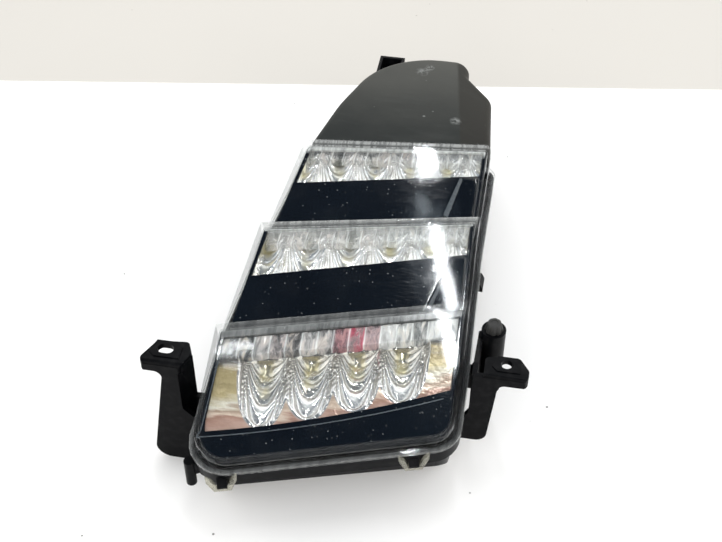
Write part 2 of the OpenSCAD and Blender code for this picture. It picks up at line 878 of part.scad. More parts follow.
module housing() {
    color([0.1, 0.1, 0.11])
        difference() {
            union() {
                // Lens head: tub, groove floor and the groove's outer wall
                tub(0, inner_wall_top);
                head() {
                    slab(lens_outline(-outer_wall_out), groove_floor, 0);
                    clip_hooks();
                    snap_hook(side_left(2) - outer_wall_out, 2, 97);
                    snap_hook(side_left(-62) - outer_wall_out, -62, 93);
                    snap_hook(side_right(0) + outer_wall_out, 0, -91);
                }
                // Tail below the dome cover
                slab(tail_outline(0), 0, tail_height);
                slab(dome_outline(dome_wall + 0.25), tail_height - 2, tail_height + joint_height);
                translate([lens_left, 0, 0])
                    left_bracket();
                translate([lens_right, 0, 0])
                    right_bracket();
                breather_boss();
                peg();
                // Open socket behind the dome for the upper fixing
                fixing_socket();
                // Connector shroud
                box(socket_x[0], socket_x[1], dome_end_y - 4, box_back, socket_z[0], socket_z[1]);
            }
            // Groove for the seal
            head()
                difference() {
                    slab(lens_outline(-groove_play), seal_floor, 1);
                    slab(lens_outline(inner_wall_in), groove_floor - 1, 2);
                }
            // Step that the bezel stands on
            head()
                slab(lens_outline(inner_wall_in - 0.4), inner_wall_top, 2);
            // Hollow of the lens head
            difference() {
                tub(shell, 10);
                at_spreader_screws()
                    translate([0, 0, -90])
                        cylinder(d = post_d, h = 90);
            }
            // Hollow of the tail, and the way up into the dome
            difference() {
                slab(tail_outline(shell + 0.3), shell, tail_height - 2.5);
                for (p = pcb_posts)
                    translate([p.x, p.y, 0])
                        cylinder(d = post_d, h = pcb_z);
                box(socket_x[0], socket_x[1], socket_back, box_back, 0, socket_z[1]);
            }
            slab(dome_outline(dome_wall + 2.2), tail_height - 5, tail_height + joint_height + 1);
            // Bores for the screws
            at_spreader_screws()
                translate([0, 0, -9.5])
                    cylinder(d = screw_d, h = 12);
            for (p = pcb_posts)
                translate([p.x, p.y, pcb_z - 8])
                    cylinder(d = screw_d, h = 9);
            // Duct of the breather
            translate([boss_x - 21, boss_y, duct_z])
                rotate([0, 90, 0])
                    cylinder(d = 3, h = 21);
            // Slots that the connector's pins pass through
            for (x = pin_x)
                box(x - pin / 2, x + pin / 2, socket_back - 1, socket_floor + 1, pin_z - pin / 2, pin_z + pin / 2);
            // Hollow of the connector shroud
            box(socket_x[0] + socket_wall, socket_x[1] - socket_wall, socket_floor, box_back + 1,
                socket_z[0] + socket_wall, socket_z[1] - socket_wall);
        }
}

// Dome cover

// Height of the dome's surface over a point: it falls away from the lens and,
// right of the crease, to the side as well.
function dome_z(p) =
    let (
        flat_z = dome_height - (p.y - dome_front) * tan(dome_fall),
        crease_x = dome_right - mix(19.3, 28.8, (p.y - 91) / 70)
    )
    flat_z - max(0, p.x - crease_x) * tan(dome_side_fall);

// One ring of the cover's skin: q is 0 at the foot of the rounding and 1 at its top.
function dome_ring(d, sink, q) =
    let (
        r = dome_round,
        pts = dome_outline(d + r * (1 - cos(90 * q)))
    )
    [for (p = pts) [p.x, p.y, dome_z(p) - sink - r * (1 - sin(90 * q))]];

function ring_centre(ring) =
    let (n = len(ring)) [for (a = [0, 1]) [for (p = ring) p[a]] * [for (p = ring) 1 / n]];

// A smaller copy of a ring on the dome's surface, shrunk towards its middle.
function shrunk_ring(ring, t, sink) =
    let (o = ring_centre(ring))
    [
        for (p = ring)
            let (q = mix(o, [p.x, p.y], t))
            [q.x, q.y, dome_z(q) - sink]
    ];

module dome_cover() {
    steps = [for (j = [0 : dome_rings]) j / dome_rings];
    inner_round = dome_round;
    outer_rings = [for (q = steps) dome_ring(0, 0, q)];
    outer_top = outer_rings[dome_rings];
    inner_rings = [for (q = steps) dome_ring(dome_wall, dome_wall, q)];
    inner_top = inner_rings[dome_rings];
    n = len(outer_top);
    outside = concat(
        [[for (p = dome_outline(0)) [p.x, p.y, tail_height]]],
        outer_rings,
        [for (t = [0.8, 0.6, 0.4, 0.2]) shrunk_ring(outer_top, t, 0)]
    );
    inside = concat(
        [for (t = [0.2, 0.4, 0.6, 0.8]) shrunk_ring(inner_top, t, dome_wall)],
        [for (j = [0 : dome_rings]) inner_rings[dome_rings - j]],
        [[for (p = dome_outline(dome_wall)) [p.x, p.y, tail_height]]]
    );
    rings = concat(outside, inside);
    m = len(outside);
    total = len(rings);
    outer_mid = ring_centre(outside[m - 1]);
    inner_mid = ring_centre(inside[0]);
    points = concat(
        [for (ring = rings) each ring],
        [[outer_mid.x, outer_mid.y, dome_z(outer_mid)],
         [inner_mid.x, inner_mid.y, dome_z(inner_mid) - dome_wall]]
    );
    faces = concat(
        [for (j = [0 : total - 1], i = [0 : n - 1])
            if (j != m - 1) each
                let (
                    up = (j + 1) % total,
                    a = j * n + i,
                    b = j * n + (i + 1) % n,
                    c = up * n + (i + 1) % n,
                    d = up * n + i
                )
                [[a, d, c], [a, c, b]]],
        [for (i = [0 : n - 1]) [(m - 1) * n + i, total * n, (m - 1) * n + (i + 1) % n]],
        [for (i = [0 : n - 1]) [m * n + (i + 1) % n, total * n + 1, m * n + i]]
    );
    color([0.3, 0.31, 0.31])
        polyhedron(points = points, faces = faces, convexity = 6);
}

// Driver board, its parts, the connector and the wires

module driver_board() {
    color([0.12, 0.35, 0.22])
        difference() {
            box(pcb_x[0], pcb_x[1], pcb_y[0], pcb_y[1], pcb_z, pcb_z + board_thick);
            for (p = pcb_posts)
                translate([p.x, p.y, pcb_z - 1])
                    cylinder(d = screw_d + 0.4, h = board_thick + 2);
        }
}

module driver_parts() {
    z = pcb_z + board_thick;
    color([0.2, 0.2, 0.22]) {
        translate([-4, 112, z])
            cube([10, 10, 2]);
        translate([14, 108, z])
            cube([7, 7, 1.6]);
        for (i = [0 : 2])
            translate([-4 + i * 16, 136, z])
                cylinder(d = 9, h = 6);
        for (i = [0 : 1])
            translate([28 + i * 8, 122, z])
                cylinder(d = 6.3, h = 7);
        for (i = [0 : 3])
            translate([0 + i * 6, 126, z])
                cube([3.2, 1.6, 1]);
        // Plug block where the board's wires start
        translate([2, pcb_y[0] + 1, z])
            cube([18, 6, 6]);
    }
}

module driver_screws() {
    color([0.7, 0.7, 0.72])
        for (p = pcb_posts)
            translate([p.x, p.y, pcb_z + board_thick])
                screw(7.5);
}

module connector_pins() {
    color([0.75, 0.62, 0.3])
        for (x = pin_x) {
            box(x - pin / 2, x + pin / 2, pcb_y[1] - 3, box_back - 2, pin_z - pin / 2, pin_z + pin / 2);
            box(x - pin / 2, x + pin / 2, pcb_y[1] - 3, pcb_y[1] - 3 + pin, pin_z, pcb_z);
        }
}

// Points of a path with each bend rounded to a radius of r.
function eased(path, r) = concat(
    [path[0]],
    [
        for (i = [1 : len(path) - 2])
            let (
                p = path[i],
                u = unit(path[i - 1] - p),
                v = unit(path[i + 1] - p),
                a = p + u * r,
                b = p + v * r
            )
            each [a, mix(mix(a, p, 0.5), mix(p, b, 0.5), 0.5), b]
    ],
    [path[len(path) - 1]]
);

wire_sides = 8;

// One ring of a wire round a point, square to the direction t. All runs lie near the YZ plane.
function wire_ring(p, t, d) =
    let (side = unit(cross([1, 0.001, 0], t)), up = unit(cross(side, t)))
    [
        for (i = [0 : wire_sides - 1])
            let (a = (i + 0.5) * 360 / wire_sides)
            p + (side * cos(a) + up * sin(a)) * d / 2
    ];

// A round wire through a list of points.
module wire(path, d) {
    pts = eased(path, 3);
    n = len(pts);
    m = wire_sides;
    rings = [
        for (i = [0 : n - 1])
            let (
                before = i == 0 ? pts[1] - pts[0] : pts[i] - pts[i - 1],
                after = i == n - 1 ? before : pts[i + 1] - pts[i]
            )
            wire_ring(pts[i], unit(unit(before) + unit(after)), d)
    ];
    faces = concat(
        [for (i = [0 : n - 2], j = [0 : m - 1]) each
            let (a = i * m + j, b = i * m + (j + 1) % m, c = b + m, e = a + m)
            [[a, b, c], [a, c, e]]],
        [[for (j = [m - 1 : -1 : 0]) j]],
        [[for (j = [0 : m - 1]) (n - 1) * m + j]]
    );
    polyhedron(points = [for (r = rings) each r], faces = faces, convexity = 4);
}

// A point beside a tier's edge, in the part's own axes.
function edge_to_part(k, p) =
    let (
        x = p.x * cos(edge_turn[k]) - p.y * sin(edge_turn[k]),
        y = edge_y[k] + p.x * sin(edge_turn[k]) + p.y * cos(edge_turn[k])
    )
    [
        x,
        y * cos(head_tilt) - p.z * sin(head_tilt),
        rim_height + y * sin(head_tilt) + p.z * cos(head_tilt)
    ];

// A pair of wires runs from the plug block below each spreader and up to its board.
module board_wires() {
    start_z = pcb_z + board_thick + 3;
    color([0.7, 0.12, 0.1])
        for (k = tiers, side = [-1, 1]) {
            lane = 5 + 6 * k + side * 1.3;
            face = prism_end[k] - skin - wall_gap;
            rise = board_z0 + leaf + 2.5;
            end = edge_to_part(k, [lane, -face, rise]);
            turn_in = edge_to_part(k, [lane, -face - leaf_length - 2, rise]);
            below = [turn_in.x, turn_in.y, start_z - 2 * k];
            wire([
                [lane, pcb_y[0] + 1, start_z],
                [lane, pcb_y[0] - 6, start_z],
                below,
                turn_in,
                end
            ], wire_d);
        }
}

cap_height = 5;

module breather_cap() {
    color([0.06, 0.06, 0.06])
        translate([boss_x, boss_y, boss_top + 0.01])
            difference() {
                union() {
                    cylinder(d1 = 8.8, d2 = 6.4, h = cap_height);
                    for (i = [0 : 7])
                        rotate([0, 0, i * 45])
                            translate([3.9, 0, 0])
                                cylinder(d = 1.8, h = cap_height - 1.4, $fn = 24);
                }
                translate([0, 0, -1])
                    cylinder(d = nipple_d, h = nipple_top - boss_top + 1.3);
            }
}

translate(shift) housing();
translate(shift) dome_cover();
translate(shift) outer_lens();
translate(shift) lens_seal();
translate(shift) bezel();
translate(shift) reflector(0);  // reflector_upper
translate(shift) reflector(1);  // reflector_middle
translate(shift) reflector(2);  // reflector_lower
translate(shift) prism_bar(0);  // prism_bar_upper
translate(shift) prism_bar(1);  // prism_bar_middle
translate(shift) prism_bar(2);  // prism_bar_lower
translate(shift) led_board(0);  // led_board_upper
translate(shift) led_board(1);  // led_board_middle
translate(shift) led_board(2);  // led_board_lower
translate(shift) leds(0);  // leds_upper
translate(shift) leds(1);  // leds_middle
translate(shift) leds(2);  // leds_lower
translate(shift) heat_spreader(0);  // heat_spreader_upper
translate(shift) heat_spreader(1);  // heat_spreader_middle
translate(shift) heat_spreader(2);  // heat_spreader_lower
translate(shift) spreader_screws();
translate(shift) driver_board();
translate(shift) driver_parts();
translate(shift) driver_screws();
translate(shift) connector_pins();
translate(shift) breather_cap();
translate(shift) board_wires();
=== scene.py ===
"""Looks of a daytime running lamp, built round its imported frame.

Run as a script. Shapes are worked out in millimetres in the axes of the lens head
(X to the right, Y up the lamp, Z out of the rim plane) and stored in metres.
"""

import math

import bmesh
import bpy
import numpy as np
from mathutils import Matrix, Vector


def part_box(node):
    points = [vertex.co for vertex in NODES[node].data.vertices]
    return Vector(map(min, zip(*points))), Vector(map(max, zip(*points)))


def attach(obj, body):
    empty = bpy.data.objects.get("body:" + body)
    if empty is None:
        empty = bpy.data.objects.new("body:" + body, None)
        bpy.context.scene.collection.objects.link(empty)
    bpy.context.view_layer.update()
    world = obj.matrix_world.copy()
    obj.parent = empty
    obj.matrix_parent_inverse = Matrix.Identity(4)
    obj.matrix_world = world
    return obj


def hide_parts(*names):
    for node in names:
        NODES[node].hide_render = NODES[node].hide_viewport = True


bl_info = {
    "name": "Daytime running lamp",
    "version": (1, 0, 0),
    "blender": (4, 5, 0),
    "location": "View3D > Sidebar > Lamp",
    "description": "Clear lens, bezel, reflectors, prism bars, covers and finishes of a running lamp",
    "category": "Add Mesh",
}

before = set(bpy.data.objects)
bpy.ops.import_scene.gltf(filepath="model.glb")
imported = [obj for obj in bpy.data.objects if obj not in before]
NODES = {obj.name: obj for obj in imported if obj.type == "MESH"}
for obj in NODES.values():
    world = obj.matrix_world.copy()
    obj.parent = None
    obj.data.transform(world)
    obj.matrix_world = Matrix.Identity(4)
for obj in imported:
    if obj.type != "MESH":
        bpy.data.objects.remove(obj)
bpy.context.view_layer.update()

# Sizes of the lens head in millimetres, the same as the solids' own.

HEAD_TILT = math.radians(6)
RIM_HEIGHT = 57.0
SHIFT = np.array([-2.05, -16.0, 0.0])
EDGE_Y = (70.2, 8.3, -56.0)
EDGE_TURN = tuple(math.radians(a) for a in (6.3, 10.9, 15.5))
TIER_HEIGHT = (23.9, 26.4, 27.7)
TIER_FALL = tuple(math.radians(a) for a in (10.3, 12.0, 15.4))
STRIP_LENGTH = (24.1, 26.0, 51.4)
STRIP_FLARE = math.radians(4.6)
LOWER_END_Y = -126.6
LOWER_END_TURN = math.radians(16.5)
LENS_RIGHT = 64.5
LENS_LEFT = -60.5
TOP_RIGHT = 62.0
TOP_LEFT = -43.0
LEAN_Y = -66.0
WAIST_Y = 3.0
UPPER_RADII = (6.0, 4.0)
LOWER_RADII = (16.0, 13.0)
LENS_WALL = 2.0
BEZEL_IN = 2.7
FRAME_IN = 3.9
SKIN_IN = 4.5
PRISM_END = (11.5, 12.0, 16.5)
LEDGE_DROP = 9.0
CUP_ROW_X = (7.5, 4.4, 0.0)
CUP_PITCH = (20.22, 21.55, 22.1)
CUP_REACH = (1.5, 1.5, 1.0)
CUP_DEPTH = (12.8, 14.08, 16.0)
CUP_LEAN = math.radians(4.6)
CLIP_X = (-44.6, 45.5)

# Sizes chosen for the looks, unlike the solids': the windows' edges, where the bars start, where the cups
# start, their width and the share of their depth that shows, the power of their oval rims, the bow of the lowest
# window's lower line, and the reflectors' wall.

WINDOW_IN = 4.4
WINDOW_LEFT = (4.6, 4.6, 4.8)
WINDOW_RIGHT = (4.0, 4.0, 4.0)
WINDOW_TOPS = (3.5, 3.5, 6.0)
PRISM_START = (3.6, 3.6, 6.2)
CUP_TOPS = (3.4, 3.4, 16.5)
CUP_HALF = 0.62
CUP_SHOWN = 0.55
OVAL_POWER = 2.4
BOW_START = -54
BOW_LENGTH = 111
BOW_REACH = 62
BOW_TERMS = (1.75, 13.085, 11.335)
REFLECTOR_WALL = 1.2

# Rings of the skins below their rounded edge, and how fine the grids are.

LENS_LEVELS = [(0.0, -5.0), (0.0, 0.0), (-3.2, 0.0), (-3.5, 0.3), (-3.5, 1.7), (-3.2, 2.0), (-0.5, 2.0), (0.0, 2.5)]
LENS_INNER_HEIGHTS = (-5.0, 0.0, 0.1, 0.3, 0.5, 0.8, 1.5, 2.5)
BEZEL_HEIGHTS = (-1.0, 3.0)
ROUND_STEPS = 5
WINDOW_COLUMNS = (4, 120, 4)
REFLECTOR_GRID = (160, 289)
LOOP_POINTS = 51

# Marks stored with the points of the lens, its loops and the bezel, and the lens's mirroring seen straight on.
# On the lens and its loops the marks weigh a pale film: scuffs and painted edge highlights on the rim, painted
# highlight outlines round the loops, and a painted highlight along each tier's upper edge.

RIM_MARKS = (0, 0, 0.1, 0.15, 0.7, 0.7, 0.03, 0.01, 0.02, 0.04, 0.05, 0.04, 0.03)
LOOP_MARKS = (0.5, 0.9, 1.0, 0.9, 0.5)
EDGE_HIGHLIGHT_MARKS = (1.3, 1.1, 0.4)
LEDGE_MARKS = (1.0, 0.9, 0.3)
LENS_MIRRORING = 0.009

TIERS = (0, 1, 2)
TIER_NAMES = ("upper", "middle", "lower")


# Points and lines, all in whole arrays.


def to_part(points):
    """Points of the lens head, in mm, turned by the head's tilt, raised to the rim and given in metres."""
    c, s = math.cos(HEAD_TILT), math.sin(HEAD_TILT)
    x, y, z = points[..., 0], points[..., 1], points[..., 2]
    turned = np.stack([x, y * c - z * s, RIM_HEIGHT + y * s + z * c], axis=-1)
    return (turned + SHIFT) * 0.001


def stack(x, y, z):
    """Three arrays or numbers as one array of points."""
    return np.stack(np.broadcast_arrays(x, y, z), axis=-1).astype(float)


def lifted(xy, z):
    """Plan points with a height each, or one height for all."""
    return np.concatenate([xy, np.broadcast_to(z, xy.shape[:-1])[..., None]], axis=-1)


def mix(a, b, t):
    """The point or number t of the way from a to b."""
    return a + (b - a) * t


def smooth(t):
    """An even start and stop: 3t² - 2t³, held between 0 and 1."""
    t = np.clip(t, 0, 1)
    return t * t * (3 - 2 * t)


def unit(v):
    """The vector v made one long."""
    return v / np.linalg.norm(v, axis=-1, keepdims=True)


LEFT_Y = np.array([LOWER_END_Y + LENS_LEFT * math.tan(LOWER_END_TURN), LEAN_Y, WAIST_Y,
                   EDGE_Y[0] + TOP_LEFT * math.tan(EDGE_TURN[0])])
LEFT_X = np.array([LENS_LEFT, LENS_LEFT, mix(LENS_LEFT, TOP_LEFT, 0.42), TOP_LEFT])
RIGHT_Y = np.array([LOWER_END_Y + LENS_RIGHT * math.tan(LOWER_END_TURN), LEAN_Y, WAIST_Y + 9,
                    EDGE_Y[0] + TOP_RIGHT * math.tan(EDGE_TURN[0])])
RIGHT_X = np.array([LENS_RIGHT, LENS_RIGHT - 0.4, LENS_RIGHT - 2.8, TOP_RIGHT])


def rounded_side(y, ys, xs):
    """A side of the lens: straight runs between its corners, blended over 5 mm each way."""
    steps = np.linspace(-5, 5, 11)
    inside = np.clip(np.asarray(y, float)[..., None] + steps, ys[0], ys[-1])
    return np.interp(inside, ys, xs).mean(axis=-1)


def side_left(y):
    """X of the lens's left side at a height y."""
    return rounded_side(y, LEFT_Y, LEFT_X)


def side_right(y):
    """X of the lens's right side at a height y."""
    return rounded_side(y, RIGHT_Y, RIGHT_X)


def line_y(k, s):
    """Where the line that runs s below a tier's upper edge crosses x = 0."""
    return EDGE_Y[k] - s / math.cos(EDGE_TURN[k])


def low_y(k, d=0.0):
    """Where a strip's lower line crosses x = 0, moved up by d."""
    return EDGE_Y[k] - STRIP_LENGTH[k] + d / math.cos(EDGE_TURN[k] + STRIP_FLARE)


def edge_line(k, s, x):
    """Height y at x of the line that runs s below a tier's upper edge."""
    return line_y(k, s) + x * math.tan(EDGE_TURN[k])


def low_line(k, x, d=0.0):
    """Height y at x of a strip's lower line, moved up by d."""
    return low_y(k, d) + x * math.tan(EDGE_TURN[k] + STRIP_FLARE)


def below_edge(k, x, y):
    """How far a point lies below a tier's upper edge."""
    return (EDGE_Y[k] - y) * math.cos(EDGE_TURN[k]) + x * math.sin(EDGE_TURN[k])


def tier_z(k, x, y, d=0.0):
    """Height of a tier's sloping plane, moved in by d, over a point."""
    fall = TIER_FALL[k]
    return TIER_HEIGHT[k] - below_edge(k, x, y) * math.tan(fall) - d / math.cos(fall)


def low_bow(x):
    """How far the lowest window's lower line lies above a straight one: a bow that hangs down in its middle."""
    t = (x - BOW_START) / BOW_LENGTH
    a, b, c = BOW_TERMS
    return np.where(np.abs(x) < BOW_REACH, a - b * t + c * t * t, 0.0)


def meet(y0, turn, side, d=0.0):
    """Where a line that crosses the lens meets its left (-1) or right (1) side, moved in by d."""
    x = 0.0
    for _ in range(3):
        y = y0 + x * math.tan(turn)
        x = float(side_left(y) + d if side < 0 else side_right(y) - d)
    return np.array([x, y0 + x * math.tan(turn)])


def both_ends(y0, turn, d=0.0):
    """Where a line that crosses the lens meets its left and its right side, moved in by d."""
    return [meet(y0, turn, side, d) for side in (-1, 1)]


# Meshes.


def new_mesh(name, points, faces):
    """A mesh object of points in metres and faces as index rows."""
    mesh = bpy.data.meshes.new(name)
    mesh.from_pydata(points.reshape(-1, 3).tolist(), [], faces)
    mesh.validate()
    mesh.polygons.foreach_set("use_smooth", np.ones(len(mesh.polygons), bool))
    mesh.update()
    thing = bpy.data.objects.new(name, mesh)
    bpy.context.scene.collection.objects.link(thing)
    return thing


def grid_faces(rows, cols, first=0, keep=None, flip=False, closed=False):
    """Four-sided faces of a grid whose points run row by row, left out where keep is false."""
    wide = cols if closed else cols - 1
    j, i = np.meshgrid(np.arange(rows - 1), np.arange(wide), indexing="ij")
    near, far = i, (i + 1) % cols
    quads = np.stack([j * cols + near, j * cols + far, (j + 1) * cols + far, (j + 1) * cols + near], -1) + first
    if keep is not None:
        quads = quads[keep]
    quads = quads.reshape(-1, 4)
    return quads[:, ::-1] if flip else quads


def strip_faces(a, b, flip=False):
    """Faces between two rows of point numbers of the same length."""
    quads = np.stack([a[:-1], a[1:], b[1:], b[:-1]], -1)
    return quads[:, ::-1] if flip else quads


def ring_faces(a, b, flip=False):
    """Faces between two closed rings of point numbers."""
    return strip_faces(np.append(a, a[0]), np.append(b, b[0]), flip)


def tube_faces(rows, cols, first=0):
    """Faces of a tube of closed rings, with one face over each of its ends."""
    end = np.arange(cols) + first
    faces = grid_faces(rows, cols, first, closed=True).tolist()
    return faces + [end[::-1].tolist(), (end + (rows - 1) * cols).tolist()]


def mark(thing, name, values):
    """Stores one number for each point of a mesh, for its finish to read."""
    layer = thing.data.attributes.new(name, "FLOAT", "POINT")
    layer.data.foreach_set("value", np.ascontiguousarray(values, dtype=np.float32).ravel())


def crease_sharp(thing, degrees):
    """Edges that turn by more than this many degrees stay sharp."""
    thing.data.set_sharp_from_angle(angle=math.radians(degrees))


def facing_out(thing):
    """Turns the faces of a closed mesh outwards, by the sign of its volume."""
    mesh = thing.data
    mesh.calc_loop_triangles()
    co = np.zeros(len(mesh.vertices) * 3)
    mesh.vertices.foreach_get("co", co)
    tri = np.zeros(len(mesh.loop_triangles) * 3, dtype=np.int32)
    mesh.loop_triangles.foreach_get("vertices", tri)
    p = co.reshape(-1, 3)[tri.reshape(-1, 3)]
    if np.einsum("ij,ij->i", p[:, 0], np.cross(p[:, 1], p[:, 2])).sum() < 0:
        mesh.flip_normals()


def finished(thing, material, slot, *nodes):
    """Gives a piece its finish and its place on the lamp, and lets it stand for its nodes."""
    thing.data.materials.clear()
    thing.data.materials.append(material)
    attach(thing, "root")
    if nodes:
        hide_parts(*nodes)


def dress(node, material):
    """Gives a node of the frame its finish."""
    thing = NODES[node]
    if not thing.data.materials:
        thing.data.materials.append(material)
    for slot in thing.material_slots:
        slot.material = material


# Shader maths.


def fill_ramp(ramp, stops):
    """Gives a colour ramp its stops, each a place and a colour."""
    while len(ramp.elements) < len(stops):
        ramp.elements.new(0.5)
    for element, (at, colour) in zip(ramp.elements, stops):
        element.position = at
        element.color = (*colour, 1)


class Value:
    """A shader socket that takes part in sums, as a number does."""

    def __init__(self, finish, socket):
        self.finish = finish
        self.socket = socket

    def maths(self, operation, *others):
        return self.finish.node("ShaderNodeMath", {"operation": operation}, [self, *others])

    def __add__(self, other):
        return self.maths("ADD", other)

    def __sub__(self, other):
        return self.maths("SUBTRACT", other)

    def __rsub__(self, other):
        return self.finish.node("ShaderNodeMath", {"operation": "SUBTRACT"}, [other, self])

    def __mul__(self, other):
        return self.maths("MULTIPLY", other)

    __radd__ = __add__

    def clamp(self, low, high):
        """This value spread from low to high onto 0 to 1."""
        span = {"Value": self, "From Min": low, "From Max": high}
        return self.finish.node("ShaderNodeMapRange", {"clamp": True}, span)


class Finish:
    """A material whose nodes are made one by one."""

    def __init__(self, name):
        self.material = bpy.data.materials.new(name)
        self.material.use_nodes = True
        self.tree = self.material.node_tree
        self.tree.nodes.clear()
        self.output = self.tree.nodes.new("ShaderNodeOutputMaterial")
        self.place = self.node("ShaderNodeTexCoord", out="Object")

    def node(self, kind, settings=None, inputs=None, out=0):
        """One node: its settings first, then the values or links of its sockets."""
        node = self.tree.nodes.new(kind)
        for key, value in (settings or {}).items():
            if key == "stops":
                fill_ramp(node.color_ramp, value)
            else:
                setattr(node, key, value)
        pairs = inputs.items() if isinstance(inputs, dict) else enumerate(inputs or [])
        for key, value in pairs:
            socket = node.inputs[key]
            if isinstance(value, Value):
                self.tree.links.new(value.socket, socket)
            elif hasattr(socket, "default_value"):
                whole = not isinstance(value, (int, float)) and len(value) == 3 and len(socket.default_value) == 4
                socket.default_value = (*value, 1) if whole else value
        return Value(self, node.outputs[out])

    def at(self, scale, turn=(0, 0, 0)):
        """The piece's own place, turned and scaled."""
        return self.node("ShaderNodeMapping", inputs={"Vector": self.place, "Rotation": turn, "Scale": scale})

    def marked(self, name):
        """A number stored with the mesh's points."""
        return self.node("ShaderNodeAttribute", {"attribute_name": name, "attribute_type": "GEOMETRY"}, out="Fac")

    def near(self, point, radius):
        """1 at a point of the part in metres, falling to 0 at a radius."""
        settings = {"operation": "DISTANCE"}
        gap = self.node("ShaderNodeVectorMath", settings, {0: self.place, 1: point}, out="Value")
        return 1 - gap.clamp(radius * 0.3, radius)

    def mirroring(self, straight):
        """Share of light mirrored by a clear surface, the same from both of its sides: it grows with the fifth
        power of the slant."""
        slant = self.node("ShaderNodeLayerWeight", inputs={"Blend": 0.5}, out="Facing")
        fifth = self.node("ShaderNodeMath", {"operation": "POWER"}, [slant, 5.0])
        return fifth * (1 - straight) + straight

    def noise(self, scale, detail=3.0, rough=0.5, place=None, warp=0.0):
        """Cloudy noise between 0 and 1, with scale in cells a metre."""
        return self.node("ShaderNodeTexNoise", inputs={
            "Vector": place or self.place, "Scale": scale, "Detail": detail, "Roughness": rough, "Distortion": warp})

    def specks(self, scale, size, sparse):
        """Round specks: 1 inside a dot of this share of a cell, in a part of the cells."""
        settings = {"feature": "F1", "distance": "EUCLIDEAN"}
        node = self.node("ShaderNodeTexVoronoi", settings, {"Vector": self.place, "Scale": scale})
        colour = Value(self, node.socket.node.outputs["Color"])
        pick = self.node("ShaderNodeSeparateColor", inputs=[colour])
        dot = 1 - node.clamp(size * 0.6, size)
        return dot * pick.clamp(1 - sparse, 1 - sparse + 0.02)

    def colours(self, factor, a, b):
        """Two colours mixed by a factor."""
        node = self.tree.nodes.new("ShaderNodeMix")
        node.data_type = "RGBA"
        for socket, value in ((node.inputs[0], factor), (node.inputs[6], a), (node.inputs[7], b)):
            if isinstance(value, Value):
                self.tree.links.new(value.socket, socket)
            else:
                socket.default_value = value if isinstance(value, (int, float)) else (*value, 1)
        return Value(self, node.outputs[2])

    def bump(self, height, strength, distance):
        """A Normal from a height."""
        return self.node("ShaderNodeBump", inputs={"Height": height, "Strength": strength, "Distance": distance})

    def surface(self, **inputs):
        """A Principled shader from named sockets."""
        named = {key.replace("_", " "): value for key, value in inputs.items()}
        return self.node("ShaderNodeBsdfPrincipled", inputs=named)

    def blend(self, factor, a, b):
        """Two shaders mixed by a factor."""
        return self.node("ShaderNodeMixShader", inputs=[factor, a, b])

    def done(self, shader):
        """Joins the shader to the output and gives the material back."""
        self.tree.links.new(shader.socket, self.output.inputs["Surface"])
        return self.material


def clear_plastic(name, tint, gloss, haze, dust_and_highlight_colour, rim_scuff_and_highlight):
    """Clear plastic: what lies behind shows through, the surface mirrors more the flatter it is seen, and
    dust and fine scratches lie on it. Where the mesh is marked as an edge the pale film grows: scuffs there,
    and painted edge highlights."""
    f = Finish(name)
    wave = f.noise(40, 2, 0.5)
    fine = f.noise(900, 3, 0.6)
    normal = f.bump(wave + fine * 0.02, 0.05, 0.0015)
    clear = f.node("ShaderNodeBsdfTransparent", inputs={"Color": tint})
    shine = f.surface(Base_Color=(0.95, 0.97, 1.0), Metallic=1.0, Roughness=gloss + fine * 0.03, Normal=normal)
    body = f.blend(f.mirroring(LENS_MIRRORING), clear, shine)
    wipes = f.noise(260, 3, 0.7, f.at((0.25, 6, 1), (0, 0, 0.9))).clamp(0.7, 0.78)
    specks = f.specks(430, 0.2, sparse=0.10) + f.specks(170, 0.11, sparse=0.25)
    rim = f.marked("edge")
    rub = f.noise(75, 3, 0.6, f.at((6, 0.6, 0.6), (0, 0, 0.1))).clamp(0.36, 0.6)
    # Share of the pale film: dust specks, wipes and haze, and on marked edges scuffs with painted edge highlights.
    dust = (specks * (f.noise(35, 2).clamp(0.4, 0.7) * 0.2) + wipes * 0.06
            + f.noise(60, 4).clamp(0.5, 0.95) * haze + rim * (rub * 0.5 + 0.5) * rim_scuff_and_highlight)
    film = f.surface(Base_Color=dust_and_highlight_colour, Roughness=0.7)
    return f.done(f.blend(dust, body, film))


def glossy_black(name, colour, tint, ledge_colour, rough, dust):
    """Hard glossy plastic of one deep colour, with a soft change of tint, fine wipes and dust specks. Where
    the mesh is marked as a ledge it is greyer and satin, and where the mark is negative it is dull."""
    f = Finish(name)
    cloud = f.noise(14, 2)
    wipe = f.noise(180, 4, 0.65, f.at((1, 8, 1), (0, 0, 0.35)))
    specks = f.specks(420, 0.15, sparse=0.3) * dust
    marked = f.marked("ledge")
    ledge, wall = marked.clamp(0, 1), (0 - marked).clamp(0, 1)
    lines = f.noise(70, 3, 0.6, f.at((7, 0.5, 0.5), (0, 0, 0.1)))
    base = f.colours(cloud.clamp(0.3, 0.7), colour, tint)
    base = f.colours(specks, base, (0.35, 0.36, 0.36))
    base = f.colours(ledge * (lines.clamp(0.3, 0.65) * 0.6 + 0.4), base, ledge_colour)
    roughness = rough + wipe.clamp(0.45, 0.8) * rough * 1.4 + specks * 0.4 + ledge * 0.3
    normal = f.bump(f.noise(55, 2) + wipe * 0.02, 0.05, 0.002)
    gloss = f.surface(Base_Color=base, Roughness=roughness, Normal=normal, Specular_IOR_Level=0.45)
    dull = f.surface(Base_Color=base, Roughness=0.35 + wipe * 0.2, Normal=normal, Specular_IOR_Level=0.08)
    return f.done(f.blend(wall, gloss, dull))


